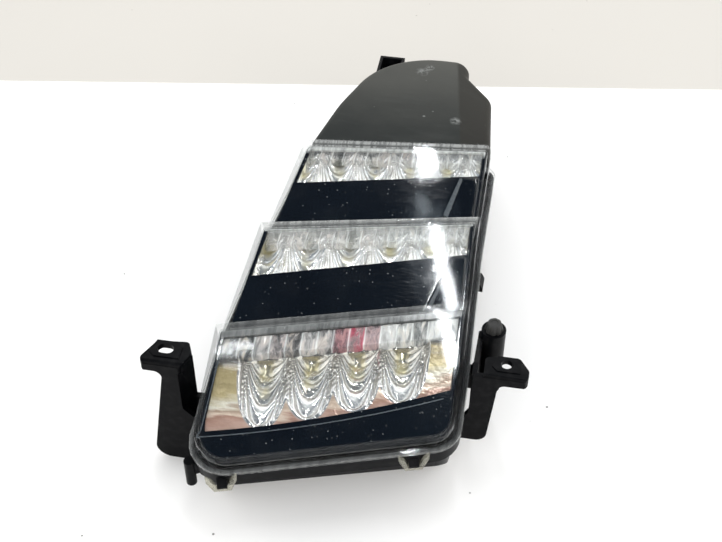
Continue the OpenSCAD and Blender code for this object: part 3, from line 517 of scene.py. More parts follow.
def moulded(name, colour, tint, rough, grain, grain_depth, scuff_colour, scuffs, shine=0.35):
    """Moulded plastic: fine grain, a slow change of shade and pale scuffs on the edges."""
    f = Finish(name)
    cloud = f.noise(22, 4)
    fine = f.noise(grain, 4, 0.6)
    scratch = f.noise(150, 4, 0.7, f.at((1, 7, 1), (0.2, 0.1, 0.7))).clamp(0.66, 0.75)
    wear = f.node("ShaderNodeNewGeometry", out="Pointiness").clamp(0.53, 0.6)
    base = f.colours(cloud.clamp(0.3, 0.75), colour, tint)
    marks = scratch * 0.3 * scuffs + wear * f.noise(240, 3).clamp(0.45, 0.75) * 0.4 * scuffs
    base = f.colours(marks, base, scuff_colour)
    roughness = rough + cloud * 0.10 + fine * 0.06 + marks * 0.2
    normal = f.bump(fine + scratch * 0.4, grain_depth, 0.0004)
    return f.done(f.surface(Base_Color=base, Roughness=roughness, Normal=normal, Specular_IOR_Level=shine))


def mirror_coat(name, colour, painted_led_reflection, land_stops, rough, shade):
    """Bright metal coat on moulded plastic, slightly uneven. The heart of each cup carries a painted reflection of
    the yellow of its light source, the flat land round the cups carries painted reflections in long blurred stripes
    of warm colours, and painted shade darkens the strip towards its upper edge."""
    f = Finish(name)
    cloud = f.noise(150, 3, 0.6)
    fine = f.noise(700, 3, 0.6)
    heart = f.marked("heart") * f.noise(120, 2).clamp(0.32, 0.6)
    land = f.marked("land")
    stripes = f.noise(60, 4, 0.6, f.at((0.25, 2.2, 2.2), (0, 0, -0.3))).clamp(0.3, 0.7)
    # Painted reflections on the land: blurred warm stripes whose colour changes down the strip.
    warm = f.node("ShaderNodeValToRGB", {"stops": land_stops}, [f.marked("down") + stripes * 0.26 - 0.13])
    base = f.colours(cloud.clamp(0.45, 0.7) * 0.6, colour, (0.50, 0.49, 0.46))
    # Painted shade: darker towards the strip's upper edge.
    base = f.colours((1 - f.marked("down").clamp(0.0, 0.55)) * shade, base, (0.30, 0.285, 0.25))
    # Painted reflection of the light source's yellow in each cup's heart.
    base = f.colours(heart * 0.8, base, painted_led_reflection)
    base = f.colours(land * 0.9, base, warm)
    normal = f.bump(f.noise(170, 3, 0.6) + fine * 0.05, 0.22, 0.0020)
    metal = 0.80 - land * 0.58 - heart * 0.25
    roughness = rough + fine * 0.05 + land * 0.1
    return f.done(f.surface(Base_Color=base, Metallic=metal, Roughness=roughness, Normal=normal))


def bare_metal(name, colour, dark, rough):
    """Metal with a rolled or turned grain and dull patches."""
    f = Finish(name)
    grain = f.noise(300, 3, 0.6, f.at((1, 14, 1)))
    patch = f.noise(60, 4)
    base = f.colours(patch.clamp(0.35, 0.75), colour, dark)
    normal = f.bump(grain, 0.12, 0.0005)
    return f.done(f.surface(Base_Color=base, Metallic=1.0, Roughness=rough + patch * 0.2, Normal=normal))


# Lens head: one stepped skin, used for the lens and for the bezel.


def arc_end(corner_a, corner_b, corner_c, radius, share):
    """A point of a corner's arc, share of the way round, and the way in from it: centre and radius of the arc."""
    u = unit(corner_a - corner_b)
    v = unit(corner_c - corner_b)
    half = math.acos(float(np.clip(u @ v, -1, 1))) / 2
    centre = corner_b + unit(u + v) * radius / math.sin(half)
    p = corner_b + u * radius / math.tan(half)
    q = corner_b + v * radius / math.tan(half)
    a0 = math.atan2(*(p - centre)[::-1])
    a1 = math.atan2(*(q - centre)[::-1])
    turn = (a1 - a0 + math.pi) % (2 * math.pi) - math.pi
    a = a0 + turn * share
    out = np.array([math.cos(a), math.sin(a)])
    return centre + out * radius, -out


def head_rows(base, fillet):
    """Rows of the stepped skin from the upper edge to the lower end. Each has its tier, its two ends on the
    outline, the way in from both ends, and how far it lies below the tier's plane."""
    tl, tr = both_ends(EDGE_Y[0], EDGE_TURN[0])
    bl, br = both_ends(LOWER_END_Y, LOWER_END_TURN)
    up = np.array([0.0, 60.0])
    rows = []

    def arc_row(k, left, right, radii, share):
        a, wa = arc_end(*left, radii[0], share)
        b, wb = arc_end(*right, radii[1], share)
        rows.append((k, a, b, wa, wb, 0.0))

    def side_row(k, y0, turn, drop=0.0):
        a, b = both_ends(y0, turn)
        u = unit(b - a)
        rows.append((k, a, b, u / u[0], -u / u[0], drop))

    left_below, right_below = both_ends(line_y(0, 12), EDGE_TURN[0])
    for share in np.linspace(0, 1, ROUND_STEPS + 1):
        arc_row(0, (tr, tl, left_below), (tl, tr, right_below), UPPER_RADII, share)
    for k in TIERS:
        turn = EDGE_TURN[k]
        if k:
            for a in np.linspace(0, math.pi / 2, ROUND_STEPS + 1):
                side_row(k, line_y(k, base + fillet * (1 - math.cos(a))), turn, fillet * (1 - math.sin(a)))
            side_row(k, line_y(k, WINDOW_TOPS[k] + 0.02), turn)
            side_row(k, line_y(k, WINDOW_TOPS[k] + 0.8), turn)
        top = line_y(k, 8.0)
        low = low_y(k)
        low_turn = turn + STRIP_FLARE
        for t in np.linspace(0, 1, 5 if k < 2 else 8):
            side_row(k, mix(top, low, t), mix(turn, low_turn, t))
        if k < 2:
            end = line_y(k + 1, base - 0.3)
            for t in np.linspace(0.03, 1, 22):
                side_row(k, mix(low, end, t), mix(low_turn, EDGE_TURN[k + 1], smooth(t)))
    # The strip's lower line ends on the left corner's arc. From there the rows run on round that arc, and down
    # the right side and round its arc.
    left_above, right_above = bl + up, br + up
    low_turn = EDGE_TURN[2] + STRIP_FLARE
    shares = np.linspace(0, 1, 400)
    arc = np.array([arc_end(left_above, bl, br, LOWER_RADII[0], share)[0] for share in shares])
    start = shares[int(np.argmin(np.abs(arc[:, 1] - low_y(2) - arc[:, 0] * math.tan(low_turn))))]
    low_r = meet(low_y(2), low_turn, 1)
    second = arc_end(right_above, br, bl, LOWER_RADII[1], 0.0)[0]
    rows.pop()
    for w in np.linspace(0, 1, 18):
        a, wa = arc_end(left_above, bl, br, LOWER_RADII[0], mix(start, 1, w))
        if w < 0.3:
            y = mix(low_r[1], second[1], w / 0.3)
            b, wb = np.array([float(side_right(y)), y]), np.array([-1.0, 0.0])
        else:
            b, wb = arc_end(right_above, br, bl, LOWER_RADII[1], (w - 0.3) / 0.7)
        rows.append((2, a, b, wa, wb, 0.0))
    return rows


def head_skin(base, plane_in, fillet, levels, relief=None):
    """The stepped skin at a distance base inside the lens's outline. levels are its outline rings from the
    bottom up as (distance in, height), followed by a rounded edge. Rows near the lowest window's lower line
    are bent by its bow. Returns its points, the rings' point numbers from the bottom up, the number of rows and
    columns, the first point of the top grid, and the rows."""
    rows = head_rows(base, fillet)
    n = len(rows)
    tier, left, right, in_left, in_right, drop = (np.array(values) for values in zip(*rows))

    def plane(points, k):
        z = np.zeros(points.shape[:-1])
        for tier_no in TIERS:
            here = k == tier_no
            z[here] = tier_z(tier_no, points[here][..., 0], points[here][..., 1], plane_in)
        return z

    edge = base + fillet
    a = left + in_left * edge
    b = right + in_right * edge
    u = unit(b - a)
    la = a + u * np.maximum(np.array(WINDOW_LEFT)[tier] - edge, 0.6)[:, None] / u[:, :1]
    rb = b - u * np.maximum(np.array(WINDOW_RIGHT)[tier] - edge, 0.6)[:, None] / u[:, :1]
    parts = []
    for start, end, count in ((a, la, WINDOW_COLUMNS[0]), (la, rb, WINDOW_COLUMNS[1]), (rb, b, WINDOW_COLUMNS[2])):
        t = np.linspace(0, 1, count + 1)[(1 if parts else 0):]
        parts.append(mix(start[:, None, :], end[:, None, :], t[None, :, None]))
    flat = np.concatenate(parts, axis=1)
    cols = flat.shape[1]
    k_grid = np.repeat(tier[:, None], cols, axis=1)
    off = flat[..., 1] - low_y(2) - flat[..., 0] * math.tan(EDGE_TURN[2] + STRIP_FLARE)
    c0, c1 = WINDOW_COLUMNS[0], WINDOW_COLUMNS[0] + WINDOW_COLUMNS[1]
    middle = smooth(np.minimum(np.arange(cols) / c0, (cols - 1 - np.arange(cols)) / (cols - 1 - c1)))
    flat[..., 1] += low_bow(flat[..., 0]) * smooth(1.1 - np.abs(off) / 9) * middle
    z = plane(flat, k_grid) - drop[:, None]
    if relief is not None:
        z = z - relief(k_grid, flat)
    cap = lifted(flat, z)

    share = np.linalg.norm(flat[[0, -1]] - a[[0, -1]][:, None, :], axis=-1)
    share = share / np.linalg.norm(b[[0, -1]] - a[[0, -1]], axis=-1)[:, None]

    def all_round(values):
        top, low = np.full(cols, values[0]), np.full(cols, values[-1])
        return np.concatenate([top, values[1:-1], low, values[1:-1][::-1]])

    def ring(d):
        pl, pr = left + in_left * d, right + in_right * d
        top = mix(pl[0], pr[0], share[0][:, None])
        low = mix(pl[-1], pr[-1], share[1][:, None])
        xy = np.concatenate([top, pr[1:-1], low[::-1], pl[1:-1][::-1]])
        return xy, plane(xy, all_round(tier)) - all_round(drop)

    rings = []
    for d, z_at in levels:
        xy, _ = ring(d)
        rings.append(lifted(xy, z_at))
    for angle in np.linspace(0, math.pi / 2, ROUND_STEPS + 1)[:-1]:
        xy, top_z = ring(base + fillet * (1 - math.cos(angle)))
        top_z = top_z - fillet * (1 - math.sin(angle))
        rings.append(lifted(xy, top_z))
    size = len(rings[0])
    points = np.concatenate([np.concatenate(rings), cap.reshape(-1, 3)])
    numbers = [np.arange(size) + m * size for m in range(len(rings))]
    first = len(rings) * size
    grid = np.arange(n * cols).reshape(n, cols) + first
    numbers.append(np.concatenate([grid[0], grid[1:-1, -1], grid[-1][::-1], grid[1:-1, 0][::-1]]))
    return points, numbers, n, cols, first, rows


def head_shell(name, base, wall, fillet, levels, inner_levels, marks, relief=None, holes=None):
    """A closed shell of the stepped skin: the outer skin, the same skin moved in by its wall, a strip that
    joins them at the bottom, and a strip round each hole. holes(rows) gives row ranges. marks is the name of a
    number stored with the points, its values on the rings, and a function (rows, spans) for those on the rows."""
    outer = head_skin(base, base, fillet, levels, relief)
    inner = head_skin(base + wall, base + wall, fillet * 0.5, inner_levels, relief)
    points = np.concatenate([outer[0], inner[0]])
    offset = len(outer[0])
    n, cols = outer[2], outer[3]
    keep = np.ones((n - 1, cols - 1), bool)
    spans = holes(outer[5]) if holes else []
    c0, c1 = WINDOW_COLUMNS[0], WINDOW_COLUMNS[0] + WINDOW_COLUMNS[1]
    for j0, j1 in spans:
        keep[j0:j1, c0:c1] = False
    faces = [grid_faces(n, cols, outer[4], keep, flip=True), grid_faces(n, cols, inner[4] + offset, keep)]
    for skin, add, flip in ((outer, 0, False), (inner, offset, True)):
        for low, high in zip(skin[1][:-1], skin[1][1:]):
            faces.append(ring_faces(low + add, high + add, not flip))
    faces.append(ring_faces(outer[1][0], inner[1][0] + offset))
    out_grid = np.arange(n * cols).reshape(n, cols) + outer[4]
    in_grid = out_grid - outer[4] + inner[4] + offset
    for j0, j1 in spans:
        loops = []
        for grid in (out_grid, in_grid):
            loops.append(np.concatenate([grid[j0, c0:c1], grid[j0:j1, c1], grid[j1, c0 + 1:c1 + 1][::-1],
                                         grid[j0 + 1:j1 + 1, c0][::-1]]))
        faces.append(ring_faces(loops[0], loops[1], flip=True))
    quads = np.concatenate(faces).tolist()
    thing = new_mesh(name, to_part(points), quads)
    mark_name, on_rings, on_rows = marks
    values = np.concatenate([np.repeat(on_rings, len(outer[1][0])), np.repeat(on_rows(outer[5], spans), cols)])
    mark(thing, mark_name, np.tile(values, 2))
    facing_out(thing)
    return thing


def edge_highlight_rows(rows, _spans):
    """How much painted edge highlight each row of the lens carries in its pale film: most along each tier's upper
    edge, down to where its bar starts.
    """
    values = []
    for k, left, right, *_ in rows:
        middle = (left + right) / 2
        values.append(EDGE_HIGHLIGHT_MARKS[k] * float(smooth((PRISM_START[k] + 0.6 - below_edge(k, *middle)) / 2.5)))
    return np.array(values)


def ledge_rows(rows, spans):
    """How pale the rows of the bezel are: pale above each window, less so in the lowest tier, and dark else."""
    tier = np.array([r[0] for r in rows])
    top = np.array([spans[k][0] for k in TIERS])
    return (np.arange(len(rows)) <= top[tier]) * np.array(LEDGE_MARKS)[tier]


def window_spans(rows):
    """Row ranges of the three windows: from just below each upper edge to the strip's lower line."""
    spans = []
    for k in TIERS:
        mine = [j for j, r in enumerate(rows) if r[0] == k and r[5] == 0.0]
        mid = [0.5 * (rows[j][1][1] + rows[j][2][1]) for j in mine]
        centre_x = [0.5 * (rows[j][1][0] + rows[j][2][0]) for j in mine]
        top = [edge_line(k, WINDOW_TOPS[k] - 0.1, x) for x in centre_x]
        low = [low_line(k, x) for x in centre_x]
        inside = [j for j, m, t, b in zip(mine, mid, top, low) if b - 0.3 <= m <= t]
        spans.append((min(inside), max(inside)))
    return spans


FOLDS = {0: ((46.9, 54.4), (41.0, 29.6), 2.6), 1: ((50.6, -4.6), (41.2, -35.6), 1.5)}
FOLD_STEP = 0.9


def band_relief(k, flat):
    """How far the black bands sink: right of a slanting fold each band steps down and falls away a little."""
    sink = np.zeros(flat.shape[:-1])
    for tier_no, (a, b, _) in FOLDS.items():
        a, b = np.array(a), np.array(b)
        along = unit(b - a)
        off = (flat - a) @ np.array([-along[1], along[0]])
        start = low_line(tier_no, flat[..., 0]) - flat[..., 1]
        inside = (k == tier_no) & (start > 0.1)
        edge = smooth((side_right(flat[..., 1]) - WINDOW_IN - flat[..., 0]) / 1.5)
        fall = (FOLD_STEP * smooth(off / 1.2) + np.clip(off, 0, None) * 0.07) * edge * smooth(start / 1.5)
        sink = np.where(inside, fall, sink)
    return sink


def fold_wedges():
    """The narrow slanting facet of each fold: a wedge whose top falls by the fold's step across its width."""
    points, faces = [], []
    for k, (a, b, width) in FOLDS.items():
        a, b = np.array(a), np.array(b)
        along = unit(b - a)
        across = np.array([-along[1], along[0]])
        t = np.linspace(0, 1, 24)[:, None]
        line = mix(a, b, t)
        profile = [(-0.25, 0.9), (-0.25, -0.08), (width * 0.5, FOLD_STEP * 0.42),
                   (width * 0.92, FOLD_STEP + 0.04), (width, FOLD_STEP + 0.9)]
        here = []
        for off, down in profile:
            xy = line + across * off * mix(0.6, 1.0, t)
            here.append(lifted(xy, tier_z(k, xy[:, 0], xy[:, 1], BEZEL_IN) - down))
        ring = np.stack(here, axis=1)
        faces += tube_faces(*ring.shape[:2], sum(len(p) for p in points))
        points.append(ring.reshape(-1, 3))
    return np.concatenate(points), faces


def frame_bead():
    """A fine bead on the bezel below the lowest window and up its left side: a line moved out from the
    window's edge, carrying a low rounded profile."""
    x = np.linspace(57.0, -56.5, 60)
    low = stack(x, low_line(2, x, -2.3), 0.0)
    low[:, 1] += low_bow(x)
    corner = low[-1]
    knee = corner + np.array([-3.2, -1.2, 0])
    turn = np.linspace(0, 1, 8)[1:-1, None]
    y = np.linspace(corner[1] + 2.6, -84.0, 40)
    up = stack(side_left(y) + 3.6 + 0.03 * (y - y[0]), y, 0.0)
    bend = mix(mix(corner, knee, turn), mix(knee, up[0], turn), turn)
    path = np.concatenate([low, bend, up])
    along = unit(np.gradient(path, axis=0))
    across = np.stack([-along[:, 1], along[:, 0], np.zeros(len(path))], -1)
    profile = [(-0.34, -0.5), (-0.30, 0.02), (-0.12, 0.22), (0.12, 0.22), (0.30, 0.02), (0.34, -0.5)]
    ring = []
    for off, high in profile:
        p = path + across * off
        p[:, 2] = tier_z(2, p[:, 0], p[:, 1], BEZEL_IN) + high
        ring.append(p)
    ring = np.stack(ring, axis=1)
    return ring.reshape(-1, 3), tube_faces(*ring.shape[:2])


def clip_loops():
    """The lens's two retaining loops: each a rounded trapezium ring, swept as a closed band."""
    points, faces = [], []
    first = 0
    wide, drop, thick = 15.0, 11.0, 1.8
    for x0 in CLIP_X:
        outline = np.array([(-wide / 2, 1.9), (-wide / 2, -2), (-wide / 2 + 3.2, -drop), (wide / 2 - 3.2, -drop),
                            (wide / 2, -2), (wide / 2, 1.9)])
        hole = np.array([(-wide / 2 + 3, -2.0), (-wide / 2 + 3.2, -2.6), (-wide / 2 + 4.9, -drop + 2.5),
                         (wide / 2 - 4.9, -drop + 2.5), (wide / 2 - 3.2, -2.6), (wide / 2 - 3, -2.0)])
        t = np.linspace(0, 5, LOOP_POINTS)
        outer = np.stack([np.interp(t, range(6), outline[:, c]) for c in (0, 1)], -1)
        inner = np.stack([np.interp(t, range(6), hole[:, c]) for c in (0, 1)], -1)
        y1 = -3.1
        y0 = y1 - thick
        levels = [(inner, y1), (outer, y1), (mix(outer, inner, -0.04), y1 - 0.4), (outer, y0), (inner, y0)]
        grid = np.stack([stack(p[:, 0], y, p[:, 1]) for p, y in levels])
        here = grid.reshape(-1, 3)
        y_edge = LOWER_END_Y + x0 * math.tan(LOWER_END_TURN)
        c, s = math.cos(LOWER_END_TURN), math.sin(LOWER_END_TURN)
        moved = stack(x0 + here[:, 0] * c - here[:, 1] * s, y_edge + here[:, 0] * s + here[:, 1] * c, here[:, 2])
        rows, cols = grid.shape[:2]
        points.append(moved)
        quads = grid_faces(rows, cols, first)
        numbers = np.arange(rows * cols).reshape(rows, cols) + first
        faces += quads.tolist() + strip_faces(numbers[-1], numbers[0]).tolist()
        faces += [numbers[:, 0][::-1].tolist(), numbers[:, -1].tolist()]
        first += len(moved)
    return np.concatenate(points), faces


# Reflectors and prism bars.


def strip_rows(k, s_top, s_low_offset, inside, count):
    """Ends of count rows from a line s_top below the edge to the strip's lower line, moved in from the sides."""
    top = both_ends(line_y(k, s_top), EDGE_TURN[k], inside)
    low = both_ends(low_y(k, s_low_offset), EDGE_TURN[k] + STRIP_FLARE, inside)
    r = np.linspace(0, 1, count)[:, None]
    return mix(top[0], low[0], r), mix(top[1], low[1], r)


def cup_centre(k, c):
    """Middle of a cup's upper line, where c counts the four cups of a row from 0."""
    x = CUP_ROW_X[k] + (c - 1.5) * CUP_PITCH[k]
    return x, edge_line(k, CUP_TOPS[k], x)


def cup_dish(k, c, x, y):
    """Where a point lies in a cup: q is 0 in its middle and 1 on its rim, a rounded oval; u runs from -1 to 1
    between the ridges beside the cup; v runs from 0 at its upper line to 1 at its lower end."""
    ox, oy = cup_centre(k, c)
    length = (oy - low_line(k, ox, 0.6)) * CUP_REACH[k]
    v = (oy - y) / length
    u = (x - ox - (oy - y) * math.tan(CUP_LEAN)) / (CUP_PITCH[k] * 0.5)
    across = np.abs(u) * 0.5 / CUP_HALF
    return (across ** OVAL_POWER + np.abs(v) ** OVAL_POWER) ** (1 / OVAL_POWER), u, v


def drapes(u, v, count):
    """Folds that hang like curtains from the two ridge tops beside a cup: a fold is a line v = d (1 - u²), and
    the angle atan(1.5 d) counts the folds, so that they fan out from the ridge tops. Gives the height of the
    folds, sharp in their valleys and calm close to the ridge tops."""
    hang = np.maximum(v + 0.12, 0.0) / np.maximum(1.06 - u * u, 0.06)
    wave = np.abs(np.sin(count * np.arctan(1.5 * hang) * 2))
    calm = np.hypot(1 - np.abs(np.clip(u, -1, 1)), v * 1.6)
    return wave ** 0.8 * smooth(calm / 0.35)


def cups(k, x, y, ripples, ripple_depth):
    """Depth of the cups: each is a dish with an oval rim, 1 - q² deep, whose wall carries folds. The deepest
    dish counts, so the folds of two cups meet on the ridge between. Gives the depth, the nearest cup's q, and how
    near a point is to a cup's heart, upper middle. The two upper rows get part of a further cup at each end."""
    parts = [cup_dish(k, c, x, y) for c in (range(4) if k == 2 else range(-1, 5))]
    q, u, v = (np.stack([part[i] for part in parts]) for i in range(3))
    depth = CUP_DEPTH[k] * CUP_SHOWN * (1 - q * q)
    folds = ripple_depth * drapes(u, v, ripples) * smooth((1.02 - q) / 0.06) * smooth((q - 0.1) / 0.2)
    nearest = depth.argmax(axis=0)[None]
    pick = lambda values: np.take_along_axis(values, nearest, axis=0)[0]
    heart = smooth(1.25 - np.hypot(u / 0.42, (v - 0.22) / 0.42))
    return np.clip(pick(depth - folds), 0, None), pick(q), pick(heart)


def reflector_points(k, ripples, ripple_depth):
    """Front grid of a reflector: the cups in a flat land. In the two upper tiers the cups themselves run on
    behind the clear bar; in the lowest a ledge and a wall lie above them. Gives the points and, for each, its
    nearness to a cup's heart, to the land, and how far down the strip it lies."""
    rows, cols = REFLECTOR_GRID
    t = np.linspace(0, 1, cols)[None, :, None]
    first = PRISM_END[k] if k == 2 else WINDOW_TOPS[k]
    left, right = strip_rows(k, first, -1.8, SKIN_IN, rows)
    dish = mix(left[:, None, :], right[:, None, :], t)
    if k == 2:
        dish[..., 1] += low_bow(dish[..., 0]) * smooth(np.linspace(-1, 1, rows))[:, None]
    x, y = dish[..., 0], dish[..., 1]
    sink, reach, heart = cups(k, x, y, ripples, ripple_depth)
    land = smooth((reach - 0.99) / 0.03)
    if k == 2:
        sink[0] = np.maximum(sink[0], (LEDGE_DROP - FRAME_IN) / math.cos(TIER_FALL[k]) + 0.3)
    sink[:, 0] = sink[:, -1] = sink[-1] = 0
    grid = lifted(dish, tier_z(k, x, y, FRAME_IN) - sink)
    down = np.broadcast_to(np.linspace(0, 1, rows)[:, None], x.shape)
    if k == 2:
        ends = np.array([both_ends(line_y(k, s), EDGE_TURN[k], SKIN_IN) for s in (SKIN_IN, PRISM_END[k] - 0.4)])
        ledge = mix(ends[:, :1], ends[:, 1:], t)
        shelf = lifted(ledge, tier_z(k, ledge[..., 0], ledge[..., 1], LEDGE_DROP))
        blank = np.zeros(shelf.shape[:2])
        grid = np.concatenate([shelf, grid])
        heart, land, down = (np.concatenate([blank, values]) for values in (heart, land, down))
    return grid, heart, land, down


def bar_points(k, cells, swell):
    """A prism bar: its front swells once over each cell in both directions, with a groove between cells and a
    lower edge that curves round each cell. Gives its front, its back, the share across and the groove at each
    column."""
    cols = cells * 14 + 1
    rows = 22
    r = np.linspace(0, 1, rows)
    s = mix(PRISM_START[k], PRISM_END[k] - 0.6, r)
    t = np.linspace(0, 1, cols)
    left = np.array([meet(line_y(k, v), EDGE_TURN[k], -1, WINDOW_LEFT[k]) for v in s])
    right = np.array([meet(line_y(k, v), EDGE_TURN[k], 1, WINDOW_RIGHT[k]) for v in s])
    flat = mix(left[:, None, :], right[:, None, :], t[None, :, None])
    cell = (t * cells) % 1.0
    arch = np.abs(np.sin(math.pi * cell)) ** 0.55
    flat[..., 1] += 0.9 * (1 - arch)[None, :] * (r ** 4)[:, None]
    along = np.sin(math.pi * r) ** 0.35
    drop = LENS_WALL + 1.3 + swell * (1 - arch[None, :] * (0.35 + 0.65 * along[:, None]))
    front = tier_z(k, flat[..., 0], flat[..., 1], 0) - drop / math.cos(TIER_FALL[k])
    back = tier_z(k, flat[..., 0], flat[..., 1], LEDGE_DROP - 0.1)
    groove = np.broadcast_to(1 - smooth(np.minimum(cell, 1 - cell) / 0.09), flat.shape[:2])
    return lifted(flat, front), lifted(flat, back), np.broadcast_to(t, flat.shape[:2]), groove


def cell_painted_light(k, cells, share):
    """How much painted light and painted red each cell of a bar carries: an even spread of brightness that grows
    to the right. The lowest bar's painted red lies round its middle and a little at its left, the others' faintly
    in their left half."""
    at = np.minimum((share * cells).astype(int), cells - 1)
    spread = (np.arange(cells) * 0.618 + 0.37 * k) % 1.0
    middle = (np.arange(cells) + 0.5) / cells
    tone = np.clip(0.28 + 0.5 * middle + 0.45 * (spread - 0.5), 0, 1)
    red = np.exp(-((middle - 0.56) / 0.075) ** 2) + 0.22 * np.exp(-((middle - 0.27) / 0.1) ** 2) * spread
    if k < 2:
        red = 0.25 * spread * (middle < 0.6)
    return tone[at], red[at]


def slab_between(name, front, back):
    """A closed piece between a front and a back grid of the same size."""
    rows, cols = front.shape[:2]
    points = np.concatenate([front.reshape(-1, 3), back.reshape(-1, 3)])
    m = rows * cols
    faces = [grid_faces(rows, cols, 0, flip=True), grid_faces(rows, cols, m)]
    grid = np.arange(m).reshape(rows, cols)
    loop = np.concatenate([grid[0, :-1], grid[:-1, -1], grid[-1, 1:][::-1], grid[1:, 0][::-1]])
    faces.append(ring_faces(loop, loop + m))
    thing = new_mesh(name, to_part(points), np.concatenate(faces).tolist())
    facing_out(thing)
    return thing


# Dome cover, in millimetres over the floor and level, before the shift.

DOME_START = 5.2
DOME_TOP = 76.5
DOME_FALL = math.radians(2.6)
CREASE_FALL = math.radians(24.0)
DOME_FOOT = 40.0
DOME_POINTS = 260
CORNER_STEPS = 14
DOME_CORNERS = np.array([
    (-43.2, EDGE_Y[0] + DOME_START - 43.2 * math.tan(EDGE_TURN[0])),
    (61.6, EDGE_Y[0] + DOME_START + 61.6 * math.tan(EDGE_TURN[0])),
    (55.9, 147.4), (39.8, 160.5), (39.0, 173.7), (-14.3, 173.7), (-33.8, 116.0)])
DOME_RADII = (4.0, 3.0, 8.0, 3.0, 6.0, 50.0, 120.0)
DOME_ROUND = 4.5


def rounded_outline(corners, radii, d):
    """A closed outline moved in by d, each corner an arc of some points; a hollow corner's radius grows."""
    n = len(corners)
    before, after = np.roll(corners, 1, axis=0), np.roll(corners, -1, axis=0)

    def left_of(v):
        return np.stack([-v[:, 1], v[:, 0]], -1)

    m, q = left_of(unit(corners - before)), left_of(unit(after - corners))
    moved = corners + (m + q) * d / (1 + (m * q).sum(-1, keepdims=True))
    points = []
    for i in range(n):
        a, b, c = moved[i - 1], moved[i], moved[(i + 1) % n]
        hollow = np.cross(b - a, c - b) < 0
        radius = max(0.4, radii[i] + (d if hollow else -d))
        points.append(np.stack([arc_end(a, b, c, radius, s)[0] for s in np.linspace(0, 1, CORNER_STEPS + 1)]))
    return np.concatenate(points)


def even_ring(ring, count, start):
    """A closed ring with its points spread evenly, from the point nearest to start."""
    first = int(np.argmin(np.linalg.norm(ring - start, axis=1)))
    ring = np.roll(ring, -first, axis=0)
    closed = np.concatenate([ring, ring[:1]])
    run = np.concatenate([[0], np.cumsum(np.linalg.norm(np.diff(closed, axis=0), axis=1))])
    at = np.linspace(0, run[-1], count, endpoint=False)
    return np.stack([np.interp(at, run, closed[:, c]) for c in (0, 1)], -1)


def past_crease(x, y):
    """How far right of the cover's crease a point lies."""
    return x - mix(42.3, 32.8, (y - 91) / 70)


def dome_height(x, y):
    """Height of the cover: it falls gently away from the lens, and beyond a soft crease to the right as well."""
    level = DOME_TOP - (y - EDGE_Y[0] - DOME_START) * math.tan(DOME_FALL)
    off = past_crease(x, y)
    soft = 0.5 * (off + np.sqrt(off * off + 0.8))
    return level - (soft - 0.02) * math.tan(CREASE_FALL) * 0.98


def dome_rings():
    """Rings of the dome from its foot up its wall, over the rounding and in to the middle."""

    def outline(d):
        return even_ring(rounded_outline(DOME_CORNERS, DOME_RADII, d), DOME_POINTS, DOME_CORNERS[0])

    rings = [lifted(outline(0.0), z) for z in (DOME_FOOT, 52.0, 60.0)]
    for q in np.linspace(0, 1, 10):
        ring = outline(DOME_ROUND * (1 - math.cos(math.pi / 2 * q)))
        rings.append(lifted(ring, dome_height(*ring.T) - DOME_ROUND * (1 - math.sin(math.pi / 2 * q))))
    top = rings[-1][:, :2]
    for t in np.linspace(1, 0.02, 40)[1:]:
        ring = mix(top.mean(axis=0), top, t)
        rings.append(lifted(ring, dome_height(*ring.T)))
    return np.stack(rings)


# Settings a user would change.


class LampShape(bpy.types.PropertyGroup):
    """Sizes of the lamp's dressed pieces."""

    lens_edge: bpy.props.FloatProperty(
        name="Lens edge", description="Rounding of the clear lens's edges", default=0.0011, unit="LENGTH")
    bezel_edge: bpy.props.FloatProperty(
        name="Bezel edge", description="Rounding of the bezel's edges", default=0.0005, unit="LENGTH")
    housing_edge: bpy.props.FloatProperty(
        name="Housing edge", description="Rounding of the housing's outer edges", default=0.0005, unit="LENGTH")
    ripples: bpy.props.IntProperty(
        name="Folds", description="Folds that fan out from each ridge top of the reflectors", default=8)
    ripple_depth: bpy.props.FloatProperty(
        name="Fold depth", description="Height of the folds in a cup", default=0.0011, unit="LENGTH")
    cells: bpy.props.IntProperty(
        name="Cells", description="Cells of each prism bar", default=15)
    cell_swell: bpy.props.FloatProperty(
        name="Cell swell", description="How far each cell of a prism bar bulges", default=0.0012, unit="LENGTH")


class LampColours(bpy.types.PropertyGroup):
    """Colours of the lamp's finishes."""

    bezel: bpy.props.FloatVectorProperty(
        name="Bezel", description="Deep colour of the glossy bezel", subtype="COLOR",
        default=(0.0020, 0.0026, 0.0042))
    housing: bpy.props.FloatVectorProperty(
        name="Housing", description="Colour of the moulded housing", subtype="COLOR",
        default=(0.0014, 0.0015, 0.0020))
    dome: bpy.props.FloatVectorProperty(
        name="Dome", description="Colour of the dome cover", subtype="COLOR", default=(0.0065, 0.0090, 0.0088))
    mirror: bpy.props.FloatVectorProperty(
        name="Mirror", description="Colour of the metal coat", subtype="COLOR", default=(0.76, 0.75, 0.735))
    floor: bpy.props.FloatVectorProperty(
        name="Floor", description="Colour of the pale floor", subtype="COLOR", default=(0.93, 0.92, 0.905))


def shape():
    return bpy.context.scene.lamp_shape


def colours():
    return bpy.context.scene.lamp_colours


# Operators: one for each piece or group of like pieces.


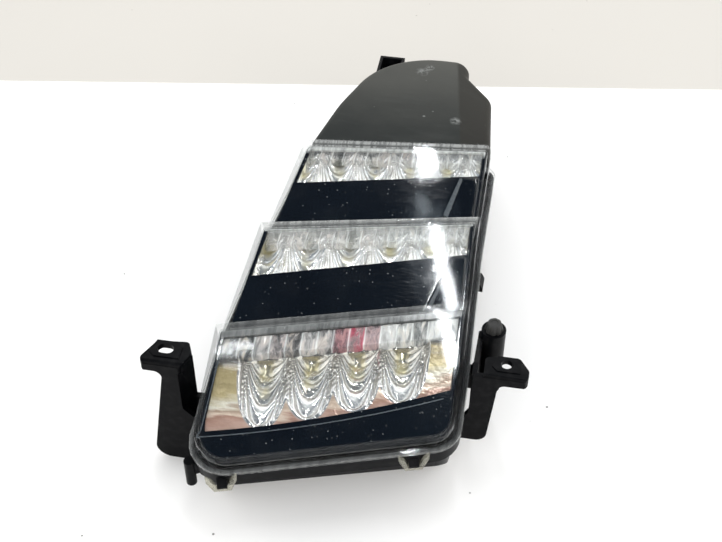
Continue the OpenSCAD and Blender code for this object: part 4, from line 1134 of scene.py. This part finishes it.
class LAMP_OT_lens(bpy.types.Operator):
    """Builds the clear stepped lens with its rim flange, tongue and two retaining loops"""

    bl_idname = "lamp.lens"
    bl_label = "Outer lens"

    def execute(self, context):
        fillet = shape().lens_edge * 1000
        inner = [(LENS_WALL, z) for z in LENS_INNER_HEIGHTS]
        lens = head_shell("lens_clear_shell", 0.0, LENS_WALL, fillet, LENS_LEVELS, inner,
                          ("edge", RIM_MARKS, edge_highlight_rows))
        crease_sharp(lens, 40)
        points, faces = clip_loops()
        loops = new_mesh("lens_loops", to_part(points), faces)
        facing_out(loops)
        mark(loops, "edge", np.tile(np.repeat(LOOP_MARKS, LOOP_POINTS), len(CLIP_X)))
        crease_sharp(loops, 35)
        # The last number of each finish weighs the pale film on marked edges: scuffs and painted edge highlights.
        clear = clear_plastic("clear_lens", (0.985, 0.99, 0.988), 0.022, 0.006, (0.45, 0.46, 0.45), 0.42)
        loop_clear = clear_plastic("clear_loops", (0.80, 0.79, 0.73), 0.08, 0.06, (0.46, 0.45, 0.39), 0.42)
        finished(lens, clear, "lens_clear", "outer_lens")
        finished(loops, loop_clear, "lens_clear")
        return {"FINISHED"}


class LAMP_OT_bezel(bpy.types.Operator):
    """Builds the glossy bezel with its three windows and bands, the bands' folds and the fine bead"""

    bl_idname = "lamp.bezel"
    bl_label = "Bezel"

    def execute(self, context):
        levels, inner = ([(d, z) for z in BEZEL_HEIGHTS] for d in (BEZEL_IN, FRAME_IN))
        dull_walls = np.full(len(BEZEL_HEIGHTS) + ROUND_STEPS, -1.0)
        bezel = head_shell("bezel_skin", BEZEL_IN, FRAME_IN - BEZEL_IN, shape().bezel_edge * 1000, levels, inner,
                           ("ledge", dull_walls, ledge_rows), band_relief, window_spans)
        crease_sharp(bezel, 35)
        black = glossy_black("bezel_gloss", tuple(colours().bezel), (0.004, 0.006, 0.009), (0.58, 0.59, 0.58),
                             0.045, 0.4)
        finished(bezel, black, "bezel_black", "bezel")
        edge = glossy_black("bezel_edges", (0.045, 0.055, 0.065), (0.06, 0.07, 0.08), (0.06, 0.07, 0.08), 0.25, 0.2)
        for name, (points, faces) in (("bezel_folds", fold_wedges()), ("bezel_bead", frame_bead())):
            trim = new_mesh(name, to_part(points), faces)
            facing_out(trim)
            crease_sharp(trim, 30)
            finished(trim, edge, "bezel_black")
        return {"FINISHED"}


class LAMP_OT_reflectors(bpy.types.Operator):
    """Builds the three reflectors with their rows of folded cups"""

    bl_idname = "lamp.reflectors"
    bl_label = "Reflectors"

    def execute(self, context):
        land_stops = [(0.06, (0.02, 0.018, 0.016)), (0.18, (0.26, 0.20, 0.08)), (0.42, (0.36, 0.29, 0.13)),
                      (0.60, (0.62, 0.58, 0.48)), (0.68, (0.30, 0.20, 0.13)), (0.78, (0.58, 0.46, 0.36)),
                      (0.84, (0.30, 0.15, 0.10)), (0.95, (0.42, 0.26, 0.20))]
        pale_stops = [(0.1, (0.80, 0.79, 0.76)), (0.45, (0.52, 0.48, 0.38)), (0.6, (0.74, 0.72, 0.67)),
                      (0.9, (0.85, 0.85, 0.83))]
        # The upper reflectors take a brighter copy of the same coat with pale land and little painted shade, the
        # lowest a darker copy with warm land and deep painted shade: painted light and shade.
        coats = [mirror_coat(name, tuple(c * share for c in colours().mirror), (0.50, 0.44, 0.22), stops, 0.04, shade)
                 for name, share, stops, shade in (("mirror_pale", 1.25, pale_stops, 0.15),
                                                   ("mirror_deep", 0.88, land_stops, 0.75))]
        for k in TIERS:
            front, *values = reflector_points(k, shape().ripples, shape().ripple_depth * 1000)
            back = front.copy()
            back[..., 2] -= REFLECTOR_WALL
            piece = slab_between(f"reflector_cups_{TIER_NAMES[k]}", front, back)
            for name, value in zip(("heart", "land", "down"), values):
                mark(piece, name, np.tile(value.ravel(), 2))
            crease_sharp(piece, 55)
            finished(piece, coats[k // 2], "reflector_mirror", f"reflector_{TIER_NAMES[k]}")
        return {"FINISHED"}


class LAMP_OT_bars(bpy.types.Operator):
    """Builds the three clear prism bars"""

    bl_idname = "lamp.bars"
    bl_label = "Prism bars"

    def execute(self, context):
        # The upper bars' finish is lifted brighter than the lowest's: lit and shaded copies of the painted light.
        clearer = prism_finish("prism_clearer", 0.24, 0.25, (0.50, 0.30, 0.26), (0.55, 0.47, 0.34))
        fuller = prism_finish("prism_fuller", 0.52, -0.08, (0.50, 0.10, 0.15), (0.55, 0.42, 0.28))
        for k in TIERS:
            front, back, share, groove = bar_points(k, shape().cells, shape().cell_swell * 1000)
            piece = slab_between(f"prism_cells_{TIER_NAMES[k]}", front, back)
            tone, red = cell_painted_light(k, shape().cells, share)
            for name, values in (("tone", tone), ("red", red), ("groove", groove)):
                mark(piece, name, np.tile(values.ravel(), 2))
            crease_sharp(piece, 50)
            finished(piece, fuller if k == 2 else clearer, "prism_clear", f"prism_bar_{TIER_NAMES[k]}")
        return {"FINISHED"}


def prism_finish(name, fill, lift, red_colour, warm_colour):
    """Clear moulded cells: part see-through, part painted light: bright facets whose painted brightness changes
    from cell to cell, painted warm and red light, and painted highlights along the grooves between them."""
    f = Finish(name)
    facets = f.noise(190, 3, 0.6, f.at((1.4, 0.55, 0.55), (0, 0, 0.5)), 0.6)
    fine = f.noise(600, 3, 0.6)
    tone = f.marked("tone")
    groove = f.marked("groove")
    stops = [(0.05, (0.06, 0.066, 0.068)), (0.32, (0.30, 0.305, 0.30)), (0.55, (0.66, 0.66, 0.64)),
             (0.85, (0.93, 0.94, 0.93))]
    # Painted light on the clear cells: brightness by cell and facet, with painted warm and red light.
    base = f.node("ShaderNodeValToRGB", {"stops": stops}, [tone + facets.clamp(0.3, 0.7) * 0.7 + (lift - 0.33)])
    base = f.colours(facets.clamp(0.52, 0.62) * 0.35, base, warm_colour)
    base = f.colours(f.marked("red") * facets.clamp(0.3, 0.55), base, red_colour)
    # Painted highlight along the grooves between cells.
    base = f.colours(groove * 0.8, base, (0.88, 0.90, 0.90))
    normal = f.bump(facets + fine * 0.08, 0.45, 0.0012)
    glass = f.node("ShaderNodeBsdfTransparent", inputs={"Color": (0.94, 0.95, 0.95)})
    shine = f.surface(Base_Color=base, Metallic=0.15, Roughness=0.10 + fine * 0.08, Normal=normal)
    return f.done(f.blend(fill + groove * 0.35 + facets.clamp(0.45, 0.7) * 0.25, glass, shine))


class LAMP_OT_dome(bpy.types.Operator):
    """Builds the matt dome cover with its soft crease"""

    bl_idname = "lamp.dome"
    bl_label = "Dome cover"

    def execute(self, context):
        outer = dome_rings()
        rings, count = outer.shape[:2]
        inner = outer.copy()
        middle = inner[..., :2].mean(axis=1, keepdims=True)
        inner[..., :2] = mix(inner[..., :2], middle, 0.03)
        inner[..., 2] = np.maximum(outer[..., 2] - 2.0, DOME_FOOT)
        inner[0, :, 2] = DOME_FOOT
        points = np.concatenate([outer.reshape(-1, 3), inner.reshape(-1, 3)])
        m = rings * count
        faces = grid_faces(rings, count, 0, closed=True).tolist()
        faces += grid_faces(rings, count, m, closed=True, flip=True).tolist()
        foot = np.arange(count)
        faces += ring_faces(foot, foot + m, flip=True).tolist()
        last = np.arange(count) + (rings - 1) * count
        faces += [last.tolist(), (last + m)[::-1].tolist()]
        cover = new_mesh("dome_shell", (points + SHIFT) * 0.001, faces)
        facing_out(cover)
        crease_sharp(cover, 40)
        xy = points[:, :2]
        mark(cover, "side", smooth(past_crease(xy[:, 0], xy[:, 1]) / 1.6 + 0.5))
        mark(cover, "rim", smooth((3.0 - (dome_height(xy[:, 0], xy[:, 1]) - points[:, 2])) / 3.0))
        finished(cover, dome_finish(tuple(colours().dome)), "dome_grey", "dome_cover")
        return {"FINISHED"}


def dome_finish(colour):
    """Matt moulded grey: fine grain, painted paler away from the lens as painted light, with cloudy dust patches,
    browner right of the crease, paler in patches along its upper rounding, with a few rubs and specks where the
    cover was handled."""
    f = Finish("dome_matt")
    cloud = f.noise(26, 4, 0.55)
    smear = f.noise(55, 4, 0.6, f.at((0.5, 1.6, 1), (0, 0, 0.5)))
    grain = f.noise(1100, 3, 0.6)
    along = f.node("ShaderNodeSeparateXYZ", inputs=[f.place], out="Y")
    # Painted light: the cover grows paler away from the lens, plus cloudy dust patches.
    painted_light_and_dust = along.clamp(0.080, 0.160) * 0.75 + cloud.clamp(0.35, 0.75) * 0.2
    base = f.colours(painted_light_and_dust, colour, (0.075, 0.075, 0.067))
    base = f.colours(f.marked("side") * 0.75, base, (0.0125, 0.0115, 0.0090))
    base = f.colours(smear.clamp(0.55, 0.8) * 0.14, base, (0.07, 0.075, 0.072))
    rough_edge = f.noise(420, 4, 0.75)
    rubs = (f.near((0.0095, 0.1405, 0.0735), 0.0052) * 0.55 + f.near((0.0128, 0.1455, 0.0733), 0.0036)
            + f.near((0.0355, 0.0925, 0.0755), 0.0042) * 0.7) * rough_edge.clamp(0.44, 0.6)
    dots = (f.near((0.0211, 0.0997, 0.0755), 0.0011) + f.near((0.0165, 0.0940, 0.0757), 0.0013)
            + f.specks(150, 0.045, sparse=0.25) * 0.5)
    rim = f.marked("rim")
    # Pale patches along the upper rounding.
    pale_rounding = rim * (1 - rim) * f.noise(130, 4, 0.7).clamp(0.55, 0.75) * 0.6
    marks = rubs * 0.85 + dots * 0.8 + pale_rounding
    base = f.colours(marks, base, (0.30, 0.31, 0.30))
    normal = f.bump(grain + smear * 0.2, 0.12, 0.0004)
    rough = 0.40 + cloud * 0.12 + marks * 0.2
    return f.done(f.surface(Base_Color=base, Roughness=rough, Normal=normal, Specular_IOR_Level=0.09))


class LAMP_OT_housing(bpy.types.Operator):
    """Softens the edges of the housing and finishes it"""

    bl_idname = "lamp.housing"
    bl_label = "Housing"

    def execute(self, context):
        mesh = NODES["housing"].data.copy()
        thing = bpy.data.objects.new("housing_moulding", mesh)
        context.scene.collection.objects.link(thing)
        merge_and_soften(thing, shape().housing_edge)
        black = moulded("housing_gloss", tuple(colours().housing), (0.0028, 0.003, 0.0036), 0.22, 500, 0.035,
                        (0.06, 0.06, 0.06), 0.2, 0.05)
        finished(thing, black, "housing_black", "housing")
        return {"FINISHED"}


def merge_and_soften(thing, width):
    """Joins a node's loose triangles, clears the flat joints between them and rounds its sharp edges."""
    bm = bmesh.new()
    bm.from_mesh(thing.data)
    bmesh.ops.remove_doubles(bm, verts=bm.verts, dist=1e-6)
    bmesh.ops.dissolve_limit(bm, angle_limit=math.radians(0.6), verts=bm.verts, edges=bm.edges)
    bm.to_mesh(thing.data)
    bm.free()
    thing.data.polygons.foreach_set("use_smooth", np.ones(len(thing.data.polygons), bool))
    bevel = thing.modifiers.new("soft_edges", "BEVEL")
    bevel.width = width
    bevel.segments = 2
    bevel.limit_method = "ANGLE"
    bevel.angle_limit = math.radians(38)
    bevel.harden_normals = True
    bevel.use_clamp_overlap = True
    crease_sharp(thing, 38)


class LAMP_OT_cap(bpy.types.Operator):
    """Builds the fluted breather cap"""

    bl_idname = "lamp.cap"
    bl_label = "Breather cap"

    def execute(self, context):
        low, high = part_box("breather_cap")
        cx, cy = (low[0] + high[0]) / 2, (low[1] + high[1]) / 2
        z0, z1 = low[2], high[2]
        r = (high[0] - low[0]) / 2
        count = 96
        a = np.linspace(0, 2 * math.pi, count, endpoint=False)
        flute = 1 - 0.13 * (1 - np.abs(np.cos(a * 4))) ** 0.8
        profile = [(0.70, 0.0, 0), (0.97, 0.0, 1), (1.0, 0.05, 1), (0.86, 0.62, 1), (0.80, 0.84, 0.8),
                   (0.72, 0.95, 0.4), (0.62, 1.0, 0), (0.42, 1.0, 0), (0.38, 0.93, 0), (0.05, 0.93, 0)]
        rings = []
        for share, up, depth in profile:
            radius = r * share * mix(1.0, flute, depth)
            rings.append(stack(cx + radius * np.cos(a), cy + radius * np.sin(a), z0 + (z1 - z0) * up))
        cap = new_mesh("breather_fluted", np.stack(rings), tube_faces(len(profile), count))
        facing_out(cap)
        crease_sharp(cap, 45)
        rubber = moulded("cap_rubber", (0.012, 0.012, 0.012), (0.02, 0.02, 0.019), 0.5, 800, 0.3,
                         (0.2, 0.2, 0.19), 0.4)
        finished(cap, rubber, "cap_rubber", "breather_cap")
        return {"FINISHED"}


class LAMP_OT_inside(bpy.types.Operator):
    """Finishes the parts inside the lamp that keep the frame's own shapes"""

    bl_idname = "lamp.inside"
    bl_label = "Inner parts"

    def execute(self, context):
        seal = moulded("seal_rubber", (0.015, 0.015, 0.016), (0.03, 0.03, 0.03), 0.6, 1200, 0.3, (0.1, 0.1, 0.1), 0.2)
        white = moulded("board_lacquer", (0.72, 0.73, 0.70), (0.62, 0.64, 0.60), 0.3, 1500, 0.15,
                        (0.4, 0.4, 0.3), 0.2)
        green = moulded("board_green", (0.02, 0.10, 0.05), (0.03, 0.14, 0.07), 0.3, 1500, 0.15, (0.3, 0.3, 0.2), 0.2)
        yellow = moulded("phosphor", (0.85, 0.70, 0.18), (0.92, 0.80, 0.35), 0.35, 2500, 0.3, (0.9, 0.9, 0.7), 0.1)
        parts = moulded("part_resin", (0.02, 0.02, 0.022), (0.04, 0.04, 0.045), 0.4, 2000, 0.25, (0.3, 0.3, 0.3), 0.3)
        wires = moulded("wire_jacket", (0.35, 0.02, 0.015), (0.42, 0.035, 0.02), 0.4, 1500, 0.2, (0.6, 0.3, 0.3), 0.2)
        alloy = bare_metal("spreader_alloy", (0.72, 0.73, 0.75), (0.55, 0.56, 0.58), 0.3)
        steel = bare_metal("screw_steel", (0.62, 0.61, 0.58), (0.4, 0.39, 0.37), 0.28)
        brass = bare_metal("pin_tin", (0.78, 0.72, 0.55), (0.6, 0.5, 0.3), 0.25)
        dress("lens_seal", seal)
        for name in TIER_NAMES:
            dress(f"led_board_{name}", white)
            dress(f"leds_{name}", yellow)
            dress(f"heat_spreader_{name}", alloy)
        for node, finish in (("driver_board", green), ("driver_parts", parts), ("driver_screws", steel),
                             ("spreader_screws", steel), ("connector_pins", brass), ("board_wires", wires)):
            dress(node, finish)
        return {"FINISHED"}


class LAMP_OT_stage(bpy.types.Operator):
    """Sets the pale floor, the backdrop, the lights and the camera"""

    bl_idname = "lamp.stage"
    bl_label = "Stage and camera"

    def execute(self, context):
        scene = context.scene
        scene.view_settings.view_transform = "Standard"
        scene.view_settings.look = "None"
        stage_floor()
        studio_lights(scene)
        look_from(scene, CAMERA_AZIMUTH, CAMERA_ELEVATION, CAMERA_DISTANCE, CAMERA_AIM, CAMERA_LENS)
        return {"FINISHED"}


CAMERA_AZIMUTH = 10.0
CAMERA_ELEVATION = 45.0
CAMERA_DISTANCE = 0.715
CAMERA_AIM = (-0.00205, -0.016, 0.050)
CAMERA_LENS = 64.82
ROOM_STRENGTH = 3.0
BOARD_TURN = math.radians(8.8)
BOARD_EDGE_Y = 0.2215
BOARD_ROUND = 0.0016
LIGHT_HEIGHT = 1.2


def stage_floor():
    """A white board whose far edge is rounded over, and a lower beige table beyond it."""
    turn = BOARD_TURN
    x = np.linspace(-2.6, 2.6, 41)
    r = BOARD_ROUND
    a = np.linspace(0, math.pi / 2, 6)
    run = np.concatenate([np.linspace(-2.4, 0.0, 40), r * np.sin(a[1:]), [r, r]])
    rise = np.concatenate([np.zeros(40), -r * (1 - np.cos(a[1:])), [-0.0035, -0.01]])
    far = np.linspace(r + 0.0008, 2.2, 20)
    white = floor_paint("stage_white", tuple(colours().floor), 1.0)
    beige = floor_paint("stage_beige", (0.530, 0.507, 0.468), 0.5)
    table = np.full(len(far), -0.0012)
    for name, out, up, finish in (("stage_floor", run, rise, white), ("stage_table", far, table, beige)):
        gx, gy = np.broadcast_arrays(x[None, :], out[:, None])
        px = gx * math.cos(turn) - gy * math.sin(turn)
        py = BOARD_EDGE_Y + gx * math.sin(turn) + gy * math.cos(turn)
        ground = new_mesh(name, stack(px, py, up[:, None]), grid_faces(len(out), len(x)).tolist())
        ground.data.materials.append(finish)


def floor_paint(name, colour, crumbs):
    """Pale board: a faint change of shade, fine fibres, and a few crumbs."""
    f = Finish(name)
    cloud = f.noise(5, 3)
    fibre = f.noise(240, 4, 0.7)
    shade = tuple(c * 0.95 for c in colour)
    base = f.colours(cloud.clamp(0.4, 0.75) * 0.6, colour, shade)
    dots = f.specks(40, 0.032, sparse=0.9) + f.specks(90, 0.03, sparse=0.2) * 0.7
    base = f.colours(dots * 0.85 * crumbs, base, (0.12, 0.11, 0.10))
    normal = f.bump(fibre, 0.05, 0.0004)
    return f.done(f.surface(Base_Color=base, Roughness=0.6 + cloud * 0.1, Normal=normal, Specular_IOR_Level=0.3))


# Each light's name, its start and end in plan, its width, its radiance and its colour.

TUBES = (
    ("tube_lens", 0.022, 0.240, 0.160, -0.105, 0.015, 90.0, (0.98, 0.99, 1.0)),
    ("tube_far", -0.046, 0.410, -0.026, 0.372, 0.026, 110.0, (0.98, 0.99, 1.0)),
    ("tube_middle", -0.034, 0.334, -0.022, 0.306, 0.018, 4.0, (0.85, 0.93, 1.0)),
    ("tube_edge", 0.014, 0.260, 0.166, -0.12, 0.026, 5.0, (0.9, 0.95, 1.0)),
    ("glow_near", -0.02, 0.32, 0.170, -0.12, 0.045, 0.9, (0.76, 0.88, 1.0)),
    ("glow_far", -0.02, 0.32, 0.175, -0.13, 0.080, 0.4, (0.72, 0.86, 1.0)),
    ("glare_left", -0.178, -0.145, -0.118, -0.129, 0.009, 50.0, (1.0, 1.0, 1.0)),
    ("glare_low", -0.150, -0.158, -0.128, -0.156, 0.014, 16.0, (1.0, 1.0, 1.0)),
    ("tube_thin", -0.094, -0.171, 0.107, -0.117, 0.0035, 5.0, (1.0, 1.0, 0.97)),
)


def studio_lights(scene):
    """A room that is dim at the horizon, brightest about 30 degrees above it and dark overhead, and flat lights
    that hang level: a slanting tube in lengths, with a soft glow round it, draws the streak down the lens, and
    small ones add glare towards its lower end."""
    world = bpy.data.worlds.new("room")
    world.use_nodes = True
    tree = world.node_tree
    back = tree.nodes["Background"]
    place = tree.nodes.new("ShaderNodeTexCoord")
    split = tree.nodes.new("ShaderNodeSeparateXYZ")
    ramp = tree.nodes.new("ShaderNodeValToRGB")
    stops = [(0.0, (0.36, 0.35, 0.335)), (0.30, (0.42, 0.41, 0.40)), (0.50, (1.0, 0.985, 0.96)),
             (0.66, (0.80, 0.81, 0.82)), (0.84, (0.26, 0.28, 0.30)), (0.92, (0.07, 0.08, 0.095)),
             (0.95, (0.022, 0.031, 0.045)), (1.0, (0.018, 0.028, 0.042))]
    fill_ramp(ramp.color_ramp, stops)
    tree.links.new(place.outputs["Generated"], split.inputs[0])
    tree.links.new(split.outputs["Z"], ramp.inputs[0])
    tree.links.new(ramp.outputs[0], back.inputs["Color"])
    back.inputs["Strength"].default_value = ROOM_STRENGTH
    scene.world = world
    for name, x0, y0, x1, y1, width, radiance, colour in TUBES:
        tube_light(name, np.array([x0, y0]), np.array([x1, y1]), LIGHT_HEIGHT, width, radiance, colour)


def tube_light(name, start, end, height, width, radiance, colour):
    """A long flat light that hangs level, from start to end in plan, with a given radiance."""
    length = float(np.linalg.norm(end - start))
    data = bpy.data.lights.new(name, "AREA")
    data.shape = "RECTANGLE"
    data.size, data.size_y = length, width
    data.energy = radiance * math.pi * length * width
    data.color = colour
    light = bpy.data.objects.new(name, data)
    light.location = (*((start + end) / 2), height)
    light.rotation_euler = (0, 0, math.atan2(end[1] - start[1], end[0] - start[0]))
    bpy.context.scene.collection.objects.link(light)


def look_from(scene, azimuth, elevation, distance, aim, lens):
    """The camera: azimuth turns right of the lamp's long axis, elevation lifts it from the floor."""
    a, e = math.radians(azimuth), math.radians(elevation)
    back = Vector((math.sin(a) * math.cos(e), -math.cos(a) * math.cos(e), math.sin(e)))
    data = bpy.data.cameras.new("camera")
    data.lens = lens
    data.sensor_width = 36
    data.clip_start = 0.01
    camera = bpy.data.objects.new("camera", data)
    camera.location = Vector(aim) + back * distance
    camera.rotation_euler = (-back).to_track_quat("-Z", "Y").to_euler()
    scene.collection.objects.link(camera)
    scene.camera = camera


STEPS = ("stage", "housing", "dome", "reflectors", "bars", "bezel", "lens", "cap", "inside")


class LAMP_PT_panel(bpy.types.Panel):
    """Lists the lamp's pieces and settings"""

    bl_idname = "LAMP_PT_panel"
    bl_label = "Running lamp"
    bl_space_type = "VIEW_3D"
    bl_region_type = "UI"
    bl_category = "Lamp"

    def draw(self, context):
        layout = self.layout
        for group in (context.scene.lamp_shape, context.scene.lamp_colours):
            box = layout.box()
            for key in group.__annotations__:
                box.prop(group, key)
        for step in STEPS:
            layout.operator(f"lamp.{step}")


CLASSES = (LampShape, LampColours, LAMP_OT_lens, LAMP_OT_bezel, LAMP_OT_reflectors, LAMP_OT_bars, LAMP_OT_dome,
           LAMP_OT_housing, LAMP_OT_cap, LAMP_OT_inside, LAMP_OT_stage, LAMP_PT_panel)


def register():
    for item in CLASSES:
        bpy.utils.register_class(item)
    bpy.types.Scene.lamp_shape = bpy.props.PointerProperty(type=LampShape)
    bpy.types.Scene.lamp_colours = bpy.props.PointerProperty(type=LampColours)


def unregister():
    del bpy.types.Scene.lamp_colours
    del bpy.types.Scene.lamp_shape
    for item in reversed(CLASSES):
        bpy.utils.unregister_class(item)


def main():
    """Builds the whole lamp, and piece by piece."""
    register()
    for step in STEPS:
        getattr(bpy.ops.lamp, step)()


if __name__ == "__main__":
    main()
